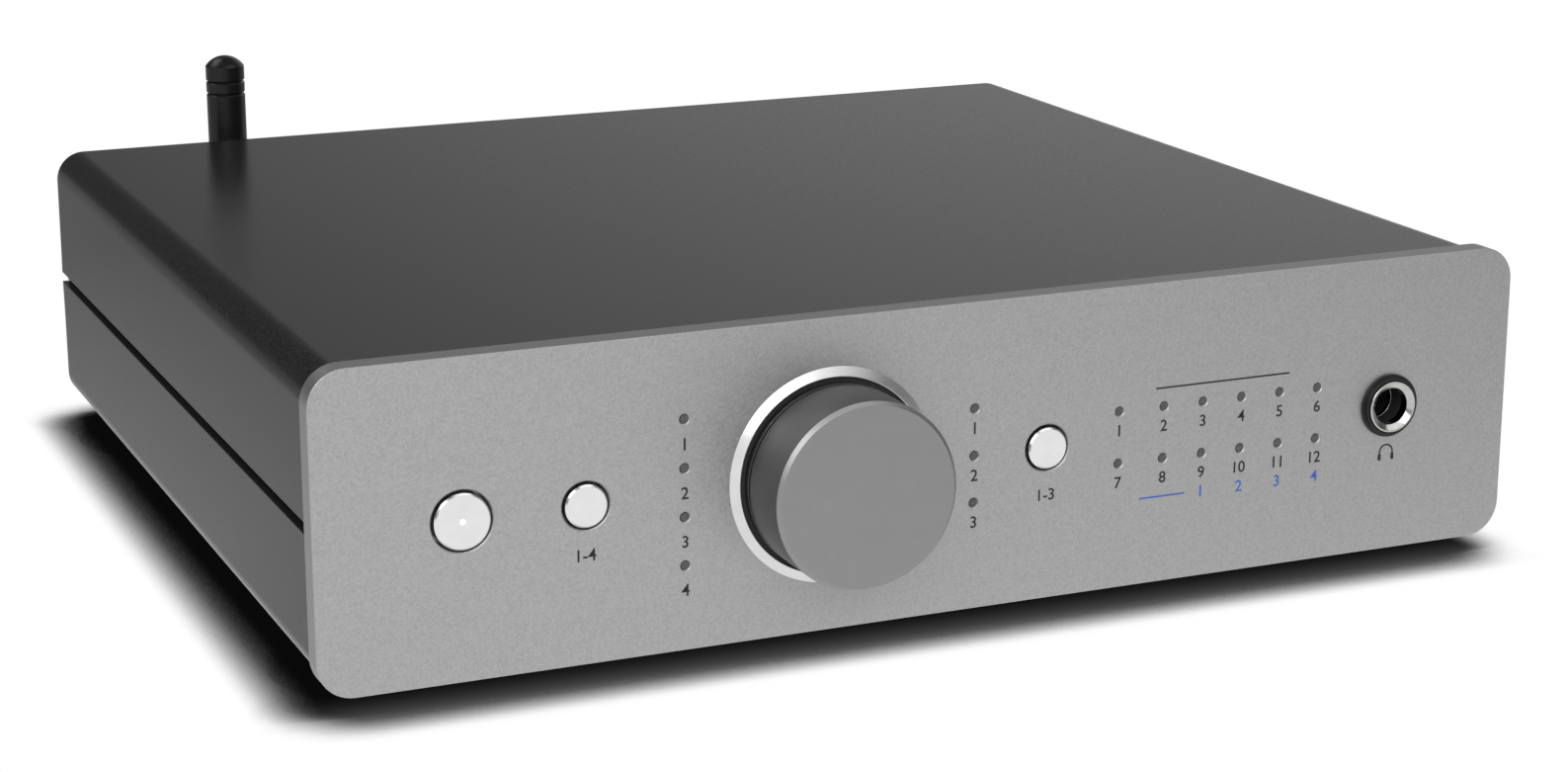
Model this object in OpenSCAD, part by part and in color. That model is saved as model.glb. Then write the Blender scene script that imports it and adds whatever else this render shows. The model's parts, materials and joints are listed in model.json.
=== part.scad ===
// Desktop digital-to-analogue converter with a headphone output and a wireless aerial.
// Millimetres. +Z is up and the front faces -Y. The origin lies under the middle of the case,
// on the surface that the feet stand on.

/* [Case] */
// Width of the front panel
panel_w = 215; // [208:1:230]
// Height of the front panel
panel_h = 52; // [50:0.5:58]
// Thickness of the front panel
panel_t = 4.4; // [4.2:0.1:6]
// Corner radius of the front panel
panel_r = 6; // [4:0.5:8]
// Chamfer round the front panel's face
panel_chamfer = 0.3; // [0.2:0.05:0.6]
// Depth from the front panel's face to the cover's rear edge
case_d = 190; // [180:1:215]
// Thickness of the folded sheet
sheet_t = 1.4; // [1:0.1:1.8]
// Step from the panel's side edges in to the sheet case
side_step = 0.85; // [0.1:0.05:1.2]
// Step from the panel's top edge down to the cover
top_step = 1.05; // [0.05:0.05:1.5]
// Step from the panel's bottom edge up to the tray
bottom_step = 0.8; // [0.4:0.1:1.5]
// Corner radius of the cover
cover_r = 5.5; // [4:0.5:9]
// Corner radius of the tray
tray_r = 5; // [3:0.5:7]
// Height of the side groove above the panel's bottom edge
groove_z = 24.7; // [20:0.1:28]
// Height of the side groove
groove_h = 1.8; // [1:0.1:3]
// Thickness of the rails behind the side grooves
rail_t = 1.2; // [0.8:0.1:2]
// Height by which a rail laps the sheet above and below its groove
rail_lap = 5; // [3:0.5:8]
// Height of the folded lips at the rear of tray and cover
lip_h = 8; // [7:0.5:9]
// Clearance of the inner front and rear panel inside the sheet case
fit_gap = 0.2; // [0.1:0.05:0.4]
// Depth of the inner front's foot flange
flange_d = 8; // [5:0.5:9]

/* [Feet] */
// Height of the front panel's bottom edge above the table
foot_h = 3; // [2:0.5:6]
// Diameter of a foot where it meets the tray
foot_d = 19; // [14:0.5:24]
// Side slope of a foot, taken off its radius
foot_slope = 0.8; // [0.2:0.1:1.5]
// Distance of a foot's axis from the panel's side edge
foot_inset_x = 20; // [16:0.5:30]
// Distance of a foot's axis from the case's front and rear edges
foot_inset_y = 22; // [18:0.5:40]
// Diameter of the pocket round a foot's screw head
foot_pocket_d = 8; // [7.5:0.5:10]
// Rubber left under a foot's screw head
foot_seat = 1.4; // [1:0.1:1.8]
// Reach of a foot's screw above the tray's floor
foot_screw_reach = 2.2; // [1:0.1:4]

/* [Screws] */
// Shank diameter of the small screws
screw_d = 2.5; // [2:0.1:3]
// Head diameter of the small screws
screw_head_d = 5; // [4.4:0.1:5.6]
// Head height of the small screws
screw_head_h = 1.6; // [1.2:0.1:2]
// Length of a screw head's cross slot
screw_slot_l = 3; // [2.4:0.1:3.6]
// Width of a screw head's cross slot
screw_slot_w = 0.8; // [0.6:0.1:1]
// Radial clearance of a screw in its hole
screw_gap = 0.05; // [0.02:0.01:0.1]
// Length of a screw below its head
screw_l = 4.4; // [4:0.1:4.8]
// Distance of the panel's fixing screws from its side edges
front_screw_inset_x = 9.5; // [8:0.5:11]
// Distance of the panel's fixing screws from its top and bottom edges
front_screw_inset_z = 9; // [8:0.5:12]
// Spacing of the screws in the rear lips
lip_screw_pitch = 82; // [60:1:90]

/* [Buttons] */
// Height of the controls' axes above the panel's bottom edge
control_z = 26; // [24:0.1:28]
// Place of the power button across the panel
power_at = -83.9; // [-86:0.1:-82]
// Diameter of the power button
power_d = 9.1; // [8:0.1:10]
// Place of the source button across the panel
source_at = -63.8; // [-66:0.1:-62]
// Place of the filter button across the panel
filter_at = 16.9; // [14:0.1:18]
// Diameter of the source and filter buttons
button_d = 7; // [6:0.1:8]
// Clearance round a button
button_gap = 0.45; // [0.3:0.05:0.6]
// Height of a button's face above the panel
button_proud = 0.4; // [0.2:0.1:1.2]
// Edge chamfer of a button's face
button_chamfer = 0.25; // [0.1:0.05:0.4]
// Width of the flange that stops a button behind the panel
button_flange_w = 1.2; // [0.8:0.1:1.6]
// Thickness of that flange
button_flange_t = 1; // [0.8:0.1:1.2]
// Gap between that flange and the inner front
button_stop_gap = 0.1; // [0.05:0.05:0.2]
// Travel of a button
button_travel = 0.8; // [0.4:0.1:0.9]
// Diameter of a button's stem
stem_d = 3.4; // [2.5:0.1:4]
// Radial clearance of a stem in its switch
stem_gap = 0.1; // [0.05:0.01:0.15]
// Depth to which a stem enters its switch
stem_engage = 0.7; // [0.4:0.1:1]
// Clearance at the end of a stem or shaft
end_gap = 0.3; // [0.2:0.1:0.5]
// Width of a switch housing
switch_w = 6; // [5.5:0.5:8]
// Height of a switch housing off its board
switch_h = 3.4; // [3:0.1:3.6]
// Diameter of the light in the power button
lens_d = 1.2; // [0.8:0.1:2]
// Length of that light
lens_l = 2.4; // [1:0.1:4]
// Radial clearance of pressed round pieces
press_gap = 0.02; // [0.01:0.01:0.04]

/* [Volume] */
// Place of the volume knob across the panel
knob_at = -21.8; // [-24:0.1:-20]
// Diameter of the volume knob
knob_d = 31; // [27:0.1:33]
// Reach of the knob's face in front of the panel
knob_reach = 13.6; // [11:0.1:18]
// Chamfer of the knob's face
knob_chamfer = 0.65; // [0.3:0.05:1.5]
// Gap between the knob's back and the panel
knob_gap = 0.4; // [0.3:0.1:0.6]
// Distance of the knob's turned line from the panel
knob_line = 2.2; // [1.6:0.1:4]
// Depth and half width of that line
knob_line_t = 0.2; // [0.1:0.05:0.4]
// Clearance between the knob and its trim ring
ring_gap = 0.4; // [0.3:0.1:0.8]
// Width of the trim ring on the panel
ring_w = 2; // [1.4:0.1:3]
// Width of the trim ring's flat front edge
ring_land = 0.4; // [0.2:0.1:0.8]
// Height of the trim ring
ring_h = 0.9; // [0.5:0.1:1.5]
// Diameter of the encoder's shaft
shaft_d = 6; // [5:0.1:6]
// Running clearance of that shaft in its bush
shaft_gap = 0.05; // [0.02:0.01:0.08]
// Length of that shaft inside the knob's hub
shaft_grip = 6; // [4:0.1:7]
// Diameter of the encoder's threaded bush
bush_d = 7.6; // [7.2:0.1:8.4]
// Clearance of that bush in the panel
bush_gap = 0.15; // [0.1:0.05:0.3]
// Width of the encoder's housing
encoder_w = 13; // [11:0.5:14]
// Thickness of the encoder housing's closed end
encoder_end_t = 1.4; // [1:0.1:2]
// Width of the bush nut across its corners
nut_d = 12; // [11:0.1:13]
// Thickness of that nut
nut_t = 2; // [1.5:0.1:2.6]
// Clearance round that nut inside the knob
nut_gap = 0.8; // [0.5:0.1:1.2]

/* [Indicators] */
// Diameter of an indicator's light hole
light_d = 1.5; // [1.2:0.1:2]
// Radial clearance of a light pipe in its hole
light_gap = 0.05; // [0.02:0.01:0.1]
// Depth of a light pipe's end below the panel's face
light_sink = 0.1; // [0.05:0.05:0.3]
// Pitch of the lights in the two columns
column_pitch = 8; // [6:0.1:8]
// Place of the source lights across the panel
source_lights_at = -47.3; // [-49:0.1:-46]
// Height of the lowest source light above the panel's bottom edge
source_lights_z = 14.1; // [13:0.1:16]
// Number of source lights
source_lights = 4; // [2:1:4]
// Place of the filter lights across the panel
filter_lights_at = 3.5; // [2:0.1:5]
// Height of the lowest filter light above the panel's bottom edge
filter_lights_z = 18.2; // [14:0.1:20]
// Number of filter lights
filter_lights = 3; // [2:1:3]
// Place of the first column of rate lights across the panel
rate_lights_at = 30.4; // [28:0.1:31]
// Step from the first column of rate lights to the second
rate_first_step = 8.5; // [7:0.1:9]
// Pitch of the other columns of rate lights
rate_pitch = 7.5; // [6:0.1:7.5]
// Number of columns of rate lights
rate_columns = 6; // [3:1:6]
// Height of the lower row of rate lights above the panel's bottom edge
rate_lights_z = 21.7; // [19:0.1:24]
// Spacing of the two rows of rate lights
rate_row_step = 9; // [7:0.1:11]
// Edge left round the light pipes on their carrier
pipe_edge = 1.3; // [1.1:0.1:1.5]
// Thickness of a light pipe's carrier
pipe_bar_t = 1.8; // [1.2:0.1:2.4]
// Width of a lamp on the front board
lamp_w = 1.6; // [1.2:0.1:2]
// Height of a lamp off the front board
lamp_h = 0.8; // [0.6:0.1:1]
// Gap between a lamp and its light pipe
lamp_gap = 0.3; // [0.2:0.1:0.6]

/* [Headphone socket] */
// Place of the headphone socket across the panel
jack_at = 83.4; // [82:0.1:84]
// Diameter of the socket's bore
jack_bore_d = 6.6; // [6.5:0.05:6.8]
// Depth of the bore behind the inner front
jack_bore_l = 27; // [24:0.5:32]
// Diameter of the socket's metal bush in the panel
jack_bush_d = 8.6; // [8.2:0.1:9]
// Reach of the metal bush in front of the panel
jack_bush_reach = 1.5; // [1:0.1:2.5]
// Diameter of the bush's rim
jack_rim_d = 9; // [8.8:0.1:10]
// Width of the rim's flat edge
jack_rim_land = 0.3; // [0.2:0.05:0.5]
// Depth of the funnel in the bush
jack_funnel = 0.6; // [0.5:0.1:2]
// Radial clearance of the metal bush in the panel and in its collar
jack_gap = 0.1; // [0.05:0.05:0.2]
// Diameter of the black collar at the panel
collar_d = 11; // [11:0.1:12.4]
// Slope of the collar, taken off its radius
collar_slope = 0.45; // [0.2:0.05:0.5]
// Height of the collar
collar_h = 1.2; // [0.8:0.1:1.4]
// Width and height of the socket's housing
jack_body_w = 14; // [12:0.5:15]
// Thickness of the socket's closed end
jack_end_t = 2; // [1:0.5:3]
// Width of a contact spring
contact_w = 1.8; // [1.2:0.1:2]
// Thickness of a contact spring
contact_t = 0.4; // [0.3:0.05:0.6]
// Length of a contact spring
contact_l = 6; // [4:0.5:7]
// Clearance round a contact spring in its slot
contact_gap = 0.1; // [0.05:0.05:0.2]
// Pitch of the contact springs along the bore
contact_pitch = 8; // [7.5:0.5:8]

/* [Boards] */
// Thickness of the circuit boards
board_t = 1.6; // [1.2:0.1:2]
// Length of the posts between the inner front and the front board
front_post_l = 5.9; // [5.6:0.1:7]
// Height of the posts under the main board
board_post_h = 6; // [5.5:0.5:7]
// Diameter of the posts
post_d = 5.6; // [5:0.1:6]
// Margin between a board and the walls beside it
board_margin = 4; // [3:0.5:5]
// Distance of the front board's posts from its sides
front_post_inset_x = 12; // [11:0.5:14]
// Distance of the front board's posts from its top and bottom edges
front_post_inset_z = 4; // [3.5:0.5:5]
// Clearance between the front and main boards
board_gap = 8; // [6:0.5:10]
// Gap between the main board and the rear panel
board_rear_gap = 3; // [2:0.5:4]
// Distance of the main board's posts from its sides
board_post_inset_x = 30; // [28:0.5:31]
// Distance of the main board's front posts from its front edge
board_post_front = 6; // [5:0.5:10]
// Distance of the main board's rear posts from its rear edge
board_post_rear = 33; // [30:0.5:36]
// Clearance of the front board round the headphone socket
jack_window_gap = 0.4; // [0.2:0.1:0.8]
// Width of the flat cable between the boards
link_w = 24; // [12:1:30]
// Thickness of that cable
link_t = 0.5; // [0.3:0.1:0.8]
// Place of that cable across the case
link_at = -10; // [-20:1:0]
// Height of that cable above the main board
link_rise = 12; // [8:0.5:16]
// Length of cable between its bend and the main board's front edge
link_land = 4; // [2:0.5:6]

/* [Parts on the main board] */
// Width of the processor
processor_w = 14; // [10:0.5:18]
// Width of a converter
converter_w = 10; // [7:0.5:14]
// Thickness of the chips
chip_t = 1.5; // [1:0.1:2]
// Distance of the chips from the main board's front edge
chip_inset = 70; // [62:1:78]
// Place of the processor across the case
processor_at = -30; // [-36:1:-20]
// Place of the first converter across the case
converter_at = 20; // [14:1:24]
// Spacing of the two converters
converter_step = 24; // [14:1:26]
// Diameter of a supply capacitor
capacitor_d = 10; // [8:0.5:12]
// Height of a supply capacitor
capacitor_h = 20; // [12:0.5:25]
// Pitch of the supply capacitors
capacitor_pitch = 13; // [12.5:0.5:14]
// Distance of the first capacitor from the main board's left edge
capacitor_inset_x = 12; // [10:0.5:14]
// Distance of the first capacitor from the main board's front edge
capacitor_inset_y = 30; // [26:1:36]
// Width of a voltage regulator
regulator_w = 10; // [8:0.5:10.5]
// Length of a voltage regulator
regulator_l = 14; // [10:0.5:16]
// Height of a voltage regulator
regulator_h = 4.5; // [3:0.5:6]
// Distance of the regulators from the main board's front edge
regulator_inset = 100; // [94:1:106]
// Width of an output relay
relay_w = 10; // [8:0.5:14]
// Length of an output relay
relay_l = 15; // [10:0.5:18]
// Height of an output relay
relay_h = 9; // [6:0.5:12]
// Distance of the relays from the main board's rear edge
relay_inset = 34; // [30:1:40]

/* [Balanced outputs] */
// Distance from the right balanced output's flange to the case's side wall
xlr_side_gap = 7.25; // [6:0.05:12]
// Gap between the flanges of the two balanced outputs
xlr_gap = 2; // [0.5:0.1:4]
// Width of a balanced output's flange
xlr_flange_w = 26; // [25:0.5:26.5]
// Height of that flange
xlr_flange_h = 31; // [29:0.5:31]
// Corner radius of that flange
xlr_flange_r = 3; // [1:0.5:4]
// Thickness of that flange
xlr_flange_t = 1.8; // [1.2:0.1:2.4]
// Outer diameter of the cup behind the flange
xlr_cup_d = 22; // [21.5:0.1:22.4]
// Inner diameter of the cup
xlr_bore_d = 18.6; // [18:0.1:19.4]
// Depth of the cup from the flange's face
xlr_depth = 17; // [16:0.5:19]
// Thickness of the cup's base
xlr_base_t = 3; // [2:0.5:4]
// Width of the cup's foot on the main board
xlr_foot_w = 16; // [10:0.5:18]
// Radius of the circle of contact pins
xlr_pin_circle_r = 4.2; // [4:0.1:4.5]
// Diameter of a contact pin
xlr_pin_d = 2.4; // [2:0.1:2.6]
// Length of a contact pin
xlr_pin_l = 9; // [8:0.5:10]
// Clearance of a connector in the rear panel
hole_gap = 0.15; // [0.1:0.05:0.2]
// Distance of a flange's fixing screws from its side and end edges
xlr_screw_inset = 3.4; // [3.2:0.1:3.5]

/* [Phono connectors] */
// Gap between neighbours in the row of balanced, line, digital and USB connectors
connector_gap = 8.5; // [6:0.1:10]
// Spacing of the upper and lower connectors
phono_pitch = 18; // [16:0.5:18.5]
// Outer diameter of a phono shell
phono_d = 8.3; // [8.2:0.05:8.4]
// Wall of a phono shell
phono_wall = 0.7; // [0.5:0.1:1]
// Diameter of a phono shell's collar
phono_collar_d = 11.6; // [10:0.1:12]
// Thickness of that collar
phono_collar_t = 1.5; // [1:0.1:2]
// Reach of a phono shell behind the rear panel
phono_reach = 10.5; // [10:0.1:11.5]
// Depth of the insulator below the shell's edge
phono_sink = 0.7; // [0.2:0.1:1.2]
// Diameter of the contact hole in an insulator
phono_hole_d = 3.2; // [3:0.1:3.4]
// Depth of that hole
phono_hole_l = 8; // [6:0.5:9]
// Depth of the line outputs' housing
line_block_d = 12; // [8:0.5:16]
// Width of the line outputs' housing
line_block_w = 14; // [12.5:0.5:16]
// Height of the housings above the upper connectors' axes
block_rise = 7.5; // [6.5:0.5:8]

/* [Digital inputs] */
// Width of a digital input's housing
digital_w = 13; // [12.5:0.5:15]
// Depth of a digital input's housing behind the rear panel
digital_d = 16; // [15:0.5:20]
// Width and height of the optical snout
snout_w = 11.6; // [11.6:0.1:12]
// Reach of the optical snout past the rear panel
snout_reach = 1; // [0.5:0.1:1.5]
// Height of the optical axis above the main board
optical_lift = 7; // [6.5:0.1:7]
// Width and height of the optical cavity
cavity_w = 9.6; // [9.4:0.1:9.8]
// Depth of the optical cavity
cavity_d = 13; // [12.8:0.1:14]
// Diameter of the optical ferrule
ferrule_d = 3.2; // [2:0.1:4]
// Length of the optical ferrule
ferrule_l = 2; // [1:0.1:2.2]
// Thickness of a shutter
shutter_t = 0.8; // [0.6:0.1:1]
// Clearance round a shutter
shutter_gap = 0.25; // [0.2:0.05:0.3]
// Depth of a shutter's face below the snout's edge
shutter_sink = 0.4; // [0.2:0.1:0.6]
// Length of a shutter's pivot in the housing
pivot_l = 0.5; // [0.3:0.1:0.6]
// Running clearance of that pivot
pivot_gap = 0.05; // [0.02:0.01:0.08]

/* [USB and power] */
// Width of the USB socket
usb_w = 12; // [11:0.5:13]
// Height of the USB socket
usb_h = 11; // [10:0.5:12]
// Depth of the USB socket behind the rear panel
usb_d = 15; // [13:0.5:18]
// Reach of the USB socket past the rear panel
usb_reach = 0.6; // [0.2:0.1:1.2]
// Width of the USB socket's opening
usb_open_w = 8.6; // [8.4:0.1:9]
// Height of the USB socket's opening
usb_open_h = 7.9; // [7.7:0.1:8.3]
// Depth of the USB socket's opening
usb_open_d = 11; // [9:0.5:12]
// Width of the USB socket's tongue
usb_tongue_w = 5.6; // [5:0.1:6]
// Height of the USB socket's tongue
usb_tongue_h = 3.2; // [2.8:0.1:3.4]
// Length of the USB socket's tongue
usb_tongue_l = 9; // [7:0.5:9]
// Distance from the power inlet's housing to the case's side wall
dc_side_gap = 8.75; // [6:0.05:12]
// Width of the power inlet's housing
dc_w = 9; // [8.6:0.1:10]
// Height of the power inlet's housing
dc_h = 11; // [10.6:0.1:12]
// Depth of the power inlet's housing behind the rear panel
dc_d = 13; // [12:0.5:16]
// Diameter of the power inlet's snout
dc_snout_d = 8.4; // [7.6:0.1:8.6]
// Reach of the power inlet's snout past the rear panel
dc_reach = 0.5; // [0.2:0.1:1.2]
// Diameter of the power inlet's hole
dc_hole_d = 6.3; // [5.7:0.1:6.6]
// Depth of the power inlet's hole
dc_hole_l = 10; // [8:0.5:11]
// Diameter of the power inlet's pin
dc_pin_d = 2.1; // [1.7:0.1:2.5]
// Length of the power inlet's pin
dc_pin_l = 8.5; // [7:0.5:9]

/* [Aerial] */
// Place of the aerial across the case
aerial_at = -69; // [-70:0.1:-66]
// Distance of the upright aerial's axis behind the cover's rear edge
aerial_back = 10; // [9.5:0.1:14]
// Diameter of the aerial
aerial_d = 7.84; // [7:0.02:8.4]
// Height of the aerial's top above the front panel's top edge
aerial_rise = 14.6; // [6:0.1:40]
// Height of the aerial's domed end
dome_h = 2.1; // [1:0.1:3]
// Distance of the first ring groove below the aerial's top
ring_groove_z = 5.2; // [4:0.1:8]
// Pitch of the ring grooves
ring_groove_pitch = 2.5; // [1.5:0.1:4]
// Depth and half width of a ring groove
ring_groove_t = 0.35; // [0.2:0.05:0.5]
// Width of the aerial's knuckle
knuckle_w = 7.2; // [6.4:0.1:7.6]
// Width of the tongue in the knuckle
tongue_w = 3; // [2:0.1:3.4]
// Clearance beside and over the tongue
tongue_gap = 0.3; // [0.2:0.05:0.4]
// Diameter of the knuckle's pin
knuckle_pin_d = 2.4; // [1.6:0.1:3]
// Running clearance of that pin
knuckle_pin_gap = 0.06; // [0.02:0.01:0.08]
// Diameter of the aerial socket's thread
aerial_thread_d = 6.2; // [5.6:0.1:6.4]
// Diameter of the coupling over that thread
coupling_d = 8.8; // [8.4:0.1:9.4]
// Clearance between the coupling and the thread
coupling_gap = 0.3; // [0.3:0.05:0.4]
// Thickness of the coupling's closed end
coupling_end_t = 0.5; // [0.4:0.1:0.8]
// Clearance between the coupling and the knuckle
knuckle_gap = 0.45; // [0.35:0.05:0.6]
// Width of the aerial socket's nut across its corners
aerial_nut_d = 10; // [9:0.1:11]
// Thickness of the aerial socket's nut
aerial_nut_t = 2; // [1.5:0.1:2.2]
// Length of the aerial socket inside the case
aerial_socket_l = 7; // [5:0.5:9]
// Diameter of the aerial's inner lead
lead_d = 1.4; // [1:0.1:2]
// Bend radius of that lead
lead_bend_r = 5; // [3:0.5:7]
// Straight length of that lead at its socket
lead_run = 3; // [1:0.5:5]
// Width and length of the wireless module
module_w = 16; // [12:0.5:20]
// Thickness of the wireless module's board
module_t = 1; // [0.8:0.1:1.6]
// Height of the wireless module's shield
module_can_h = 2.4; // [1.5:0.1:4]
// Edge of the wireless module's board round its shield
module_edge = 1.5; // [1:0.1:3]

/* [Hidden] */
$fn = 64;

// Overlap that keeps a cut clear of the face it opens
cut = 1;

// The case, from front to rear and from the table up
front_y = -case_d / 2;
rear_y = case_d / 2;
panel_back_y = front_y + panel_t;
inner_back_y = panel_back_y + sheet_t;
rear_face_y = rear_y - sheet_t;
rear_inner_y = rear_face_y - sheet_t;
panel_z0 = foot_h;
panel_z1 = panel_z0 + panel_h;
shell_w = panel_w - 2 * side_step;
inner_w = shell_w - 2 * sheet_t;
shell_z0 = panel_z0 + bottom_step;
shell_z1 = panel_z1 - top_step;
floor_z = shell_z0 + sheet_t;
ceiling_z = shell_z1 - sheet_t;
groove_z0 = panel_z0 + groove_z;
groove_z1 = groove_z0 + groove_h;
middle_z = (shell_z0 + shell_z1) / 2;
axis_z = panel_z0 + control_z;
foot_x = panel_w / 2 - foot_inset_x;
foot_y = rear_y - foot_inset_y;
foot_places = [for (x = [-1, 1], y = [-1, 1]) [x * foot_x, y * foot_y]];

// Places across the case, spread or drawn in with the panel from the width that they are given for
layout_w = 215;
function across(x) = x * panel_w / layout_w;
power_x = across(power_at);
source_x = across(source_at);
filter_x = across(filter_at);
knob_x = across(knob_at);
source_lights_x = across(source_lights_at);
filter_lights_x = across(filter_lights_at);
rate_lights_x = across(rate_lights_at);
jack_x = across(jack_at);
aerial_x = across(aerial_at);
link_x = across(link_at);
processor_x = across(processor_at);
converter_x = across(converter_at);

// Screws
screw_r = screw_d / 2;
screw_hole_r = screw_r + screw_gap;
front_screw_x = panel_w / 2 - front_screw_inset_x;
front_screw_z0 = panel_z0 + front_screw_inset_z;
front_screw_z1 = panel_z1 - front_screw_inset_z;
front_screw_places = [for (x = [-1, 1], z = [front_screw_z0, front_screw_z1]) [x * front_screw_x, z]];
lip_screw_inset = (lip_h + sheet_t) / 2;
lip_screw_places = [for (x = [-1, 0, 1], z = [shell_z0 + lip_screw_inset, shell_z1 - lip_screw_inset])
    [x * lip_screw_pitch, z]];

// Boards
front_board_y0 = inner_back_y + front_post_l;
front_board_y1 = front_board_y0 + board_t;
front_board_x = inner_w / 2 - rail_t - board_margin;
front_board_z0 = floor_z + board_margin;
front_board_z1 = ceiling_z - board_margin;
front_post_z0 = front_board_z0 + front_post_inset_z;
front_post_z1 = front_board_z1 - front_post_inset_z;
front_post_places = [for (x = [-1, 1], z = [front_post_z0, front_post_z1])
    [x * (front_board_x - front_post_inset_x), z]];
board_x = front_board_x;
board_y0 = front_board_y1 + board_gap;
board_y1 = rear_inner_y - board_rear_gap;
board_bottom = floor_z + board_post_h;
board_top = board_bottom + board_t;
board_post_y0 = board_y0 + board_post_front;
board_post_y1 = board_y1 - board_post_rear;
board_post_rows = [board_post_y0, (board_post_y0 + board_post_y1) / 2, board_post_y1];
board_post_places = [for (x = [-1, 1], y = board_post_rows)
    [x * (board_x - board_post_inset_x), y]];

// Lights, each as a place across the panel and a height above the table
light_r = light_d / 2;
function column_lights(x, z, count) = [for (i = [0:count - 1]) [x, panel_z0 + z + i * column_pitch]];
function rate_x(column) = rate_lights_x + (column == 0 ? 0 : rate_first_step + (column - 1) * rate_pitch);
source_places = column_lights(source_lights_x, source_lights_z, source_lights);
filter_places = column_lights(filter_lights_x, filter_lights_z, filter_lights);
rate_places = [for (column = [0:rate_columns - 1], row = [0, 1])
    [rate_x(column), panel_z0 + rate_lights_z + row * rate_row_step]];
light_places = concat(source_places, filter_places, rate_places);

// Buttons, each as a place across the panel and a diameter
button_places = [[power_x, power_d], [source_x, button_d], [filter_x, button_d]];
flange_y0 = inner_back_y + button_stop_gap;
flange_y1 = flange_y0 + button_flange_t;
switch_y0 = front_board_y0 - switch_h;
stem_y1 = switch_y0 + stem_engage;
switch_floor_y = stem_y1 + button_travel + end_gap;

// Knob and encoder
knob_r = knob_d / 2;
ring_r0 = knob_r + ring_gap;
bush_reach = nut_t + nut_gap / 2;
nut_room_r = nut_d / 2 + nut_gap;
nut_room_l = bush_reach + nut_gap;
shaft_reach = nut_room_l + shaft_grip;

// Headphone socket
jack_bore_r = jack_bore_d / 2;
jack_bush_r = jack_bush_d / 2;
jack_rim_r = jack_rim_d / 2;
jack_end_y = inner_back_y + jack_bore_l;
contact_places = [for (i = [0:2]) inner_back_y + contact_pitch * (i + 0.5)];

// Rear connectors, in a row from the right side wall
xlr_right_x = inner_w / 2 - xlr_side_gap - xlr_flange_w / 2;
xlr_left_x = xlr_right_x - xlr_flange_w - xlr_gap;
line_x = xlr_left_x - (xlr_flange_w + line_block_w) / 2 - connector_gap;
digital_1_x = line_x - (line_block_w + digital_w) / 2 - connector_gap;
digital_2_x = digital_1_x - digital_w - connector_gap;
usb_x = digital_2_x - (digital_w + usb_w) / 2 - connector_gap;
dc_x = dc_side_gap + dc_w / 2 - inner_w / 2;
xlr_places = [xlr_left_x, xlr_right_x];
xlr_base_y = rear_face_y + xlr_flange_t - xlr_depth;
xlr_floor_y = xlr_base_y + xlr_base_t;
xlr_pin_angles = [45, 135, 270];
xlr_screw_x = xlr_flange_w / 2 - xlr_screw_inset;
xlr_screw_z = xlr_flange_h / 2 - xlr_screw_inset;
upper_z = middle_z + phono_pitch / 2;
lower_z = middle_z - phono_pitch / 2;
phono_r = phono_d / 2;
phono_places = [[line_x, upper_z], [line_x, lower_z], [digital_1_x, upper_z], [digital_2_x, upper_z]];
block_top = upper_z + block_rise;
digital_places = [digital_1_x, digital_2_x];
optical_z = board_top + optical_lift;
snout_y = rear_face_y + snout_reach;
cavity_y = snout_y - cavity_d;
pivot_r = shutter_t / 2;
pivot_y = snout_y - shutter_sink - pivot_r;
pivot_z = optical_z + cavity_w / 2 - shutter_gap - pivot_r;
usb_z = board_top + usb_h / 2;
usb_y1 = rear_face_y + usb_reach;
dc_z = board_top + dc_h / 2;
dc_y1 = rear_face_y + dc_reach;

// Aerial
aerial_y = rear_y + aerial_back;
aerial_z = middle_z;
aerial_r = aerial_d / 2;
aerial_top = panel_z1 + aerial_rise;
dome_r = (aerial_r * aerial_r + dome_h * dome_h) / (2 * dome_h);
knuckle_r = aerial_r;
coupling_y0 = rear_face_y + aerial_nut_t + coupling_gap;
coupling_y1 = aerial_y - knuckle_r - knuckle_gap;
thread_y1 = coupling_y1 - coupling_end_t - coupling_gap;
socket_y0 = rear_inner_y - aerial_socket_l;
lead_down_y = socket_y0 - lead_run - lead_bend_r;
module_top = board_top + module_t + module_can_h;

// Shapes that repeat

// A solid block between the given limits along each axis
module block(x, y, z) {
    translate([x[0], y[0], z[0]]) cube([x[1] - x[0], y[1] - y[0], z[1] - z[0]]);
}

// An outline in X and Z carried along Y
module along_y(y0, y1) {
    translate([0, y1, 0]) rotate([90, 0, 0]) linear_extrude(y1 - y0) children();
}

// A round bar along Y
module rod_y(r, y0, y1) {
    translate([0, y1, 0]) rotate([90, 0, 0]) cylinder(r = r, h = y1 - y0);
}

// An outline of radius and distance towards the front, turned about Y
module turned(y) {
    translate([0, y, 0]) rotate([90, 0, 0]) rotate_extrude() children();
}

// A rectangle with round corners about the origin
module rounded_rect(w, h, r) {
    square([w, h - 2 * r], center = true);
    square([w - 2 * r, h], center = true);
    for (x = [-1, 1], y = [-1, 1]) translate([x * (w / 2 - r), y * (h / 2 - r)]) circle(r);
}

// A rectangle that stands on the origin with its two lower corners rounded
module cup_section(w, h, r) {
    translate([-w / 2, r]) square([w, h - r]);
    translate([-w / 2 + r, 0]) square([w - 2 * r, r]);
    for (x = [-1, 1]) translate([x * (w / 2 - r), r]) circle(r);
}

// A flat rectangle with four corner radii, as tall as the inside of the case
module bulkhead_section() {
    w = inner_w - 2 * fit_gap;
    h = ceiling_z - fit_gap - floor_z;
    intersection() {
        translate([0, floor_z]) cup_section(w, h, tray_r - sheet_t);
        translate([0, floor_z + h]) mirror([0, 1]) cup_section(w, h, cover_r - sheet_t);
    }
}

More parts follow.
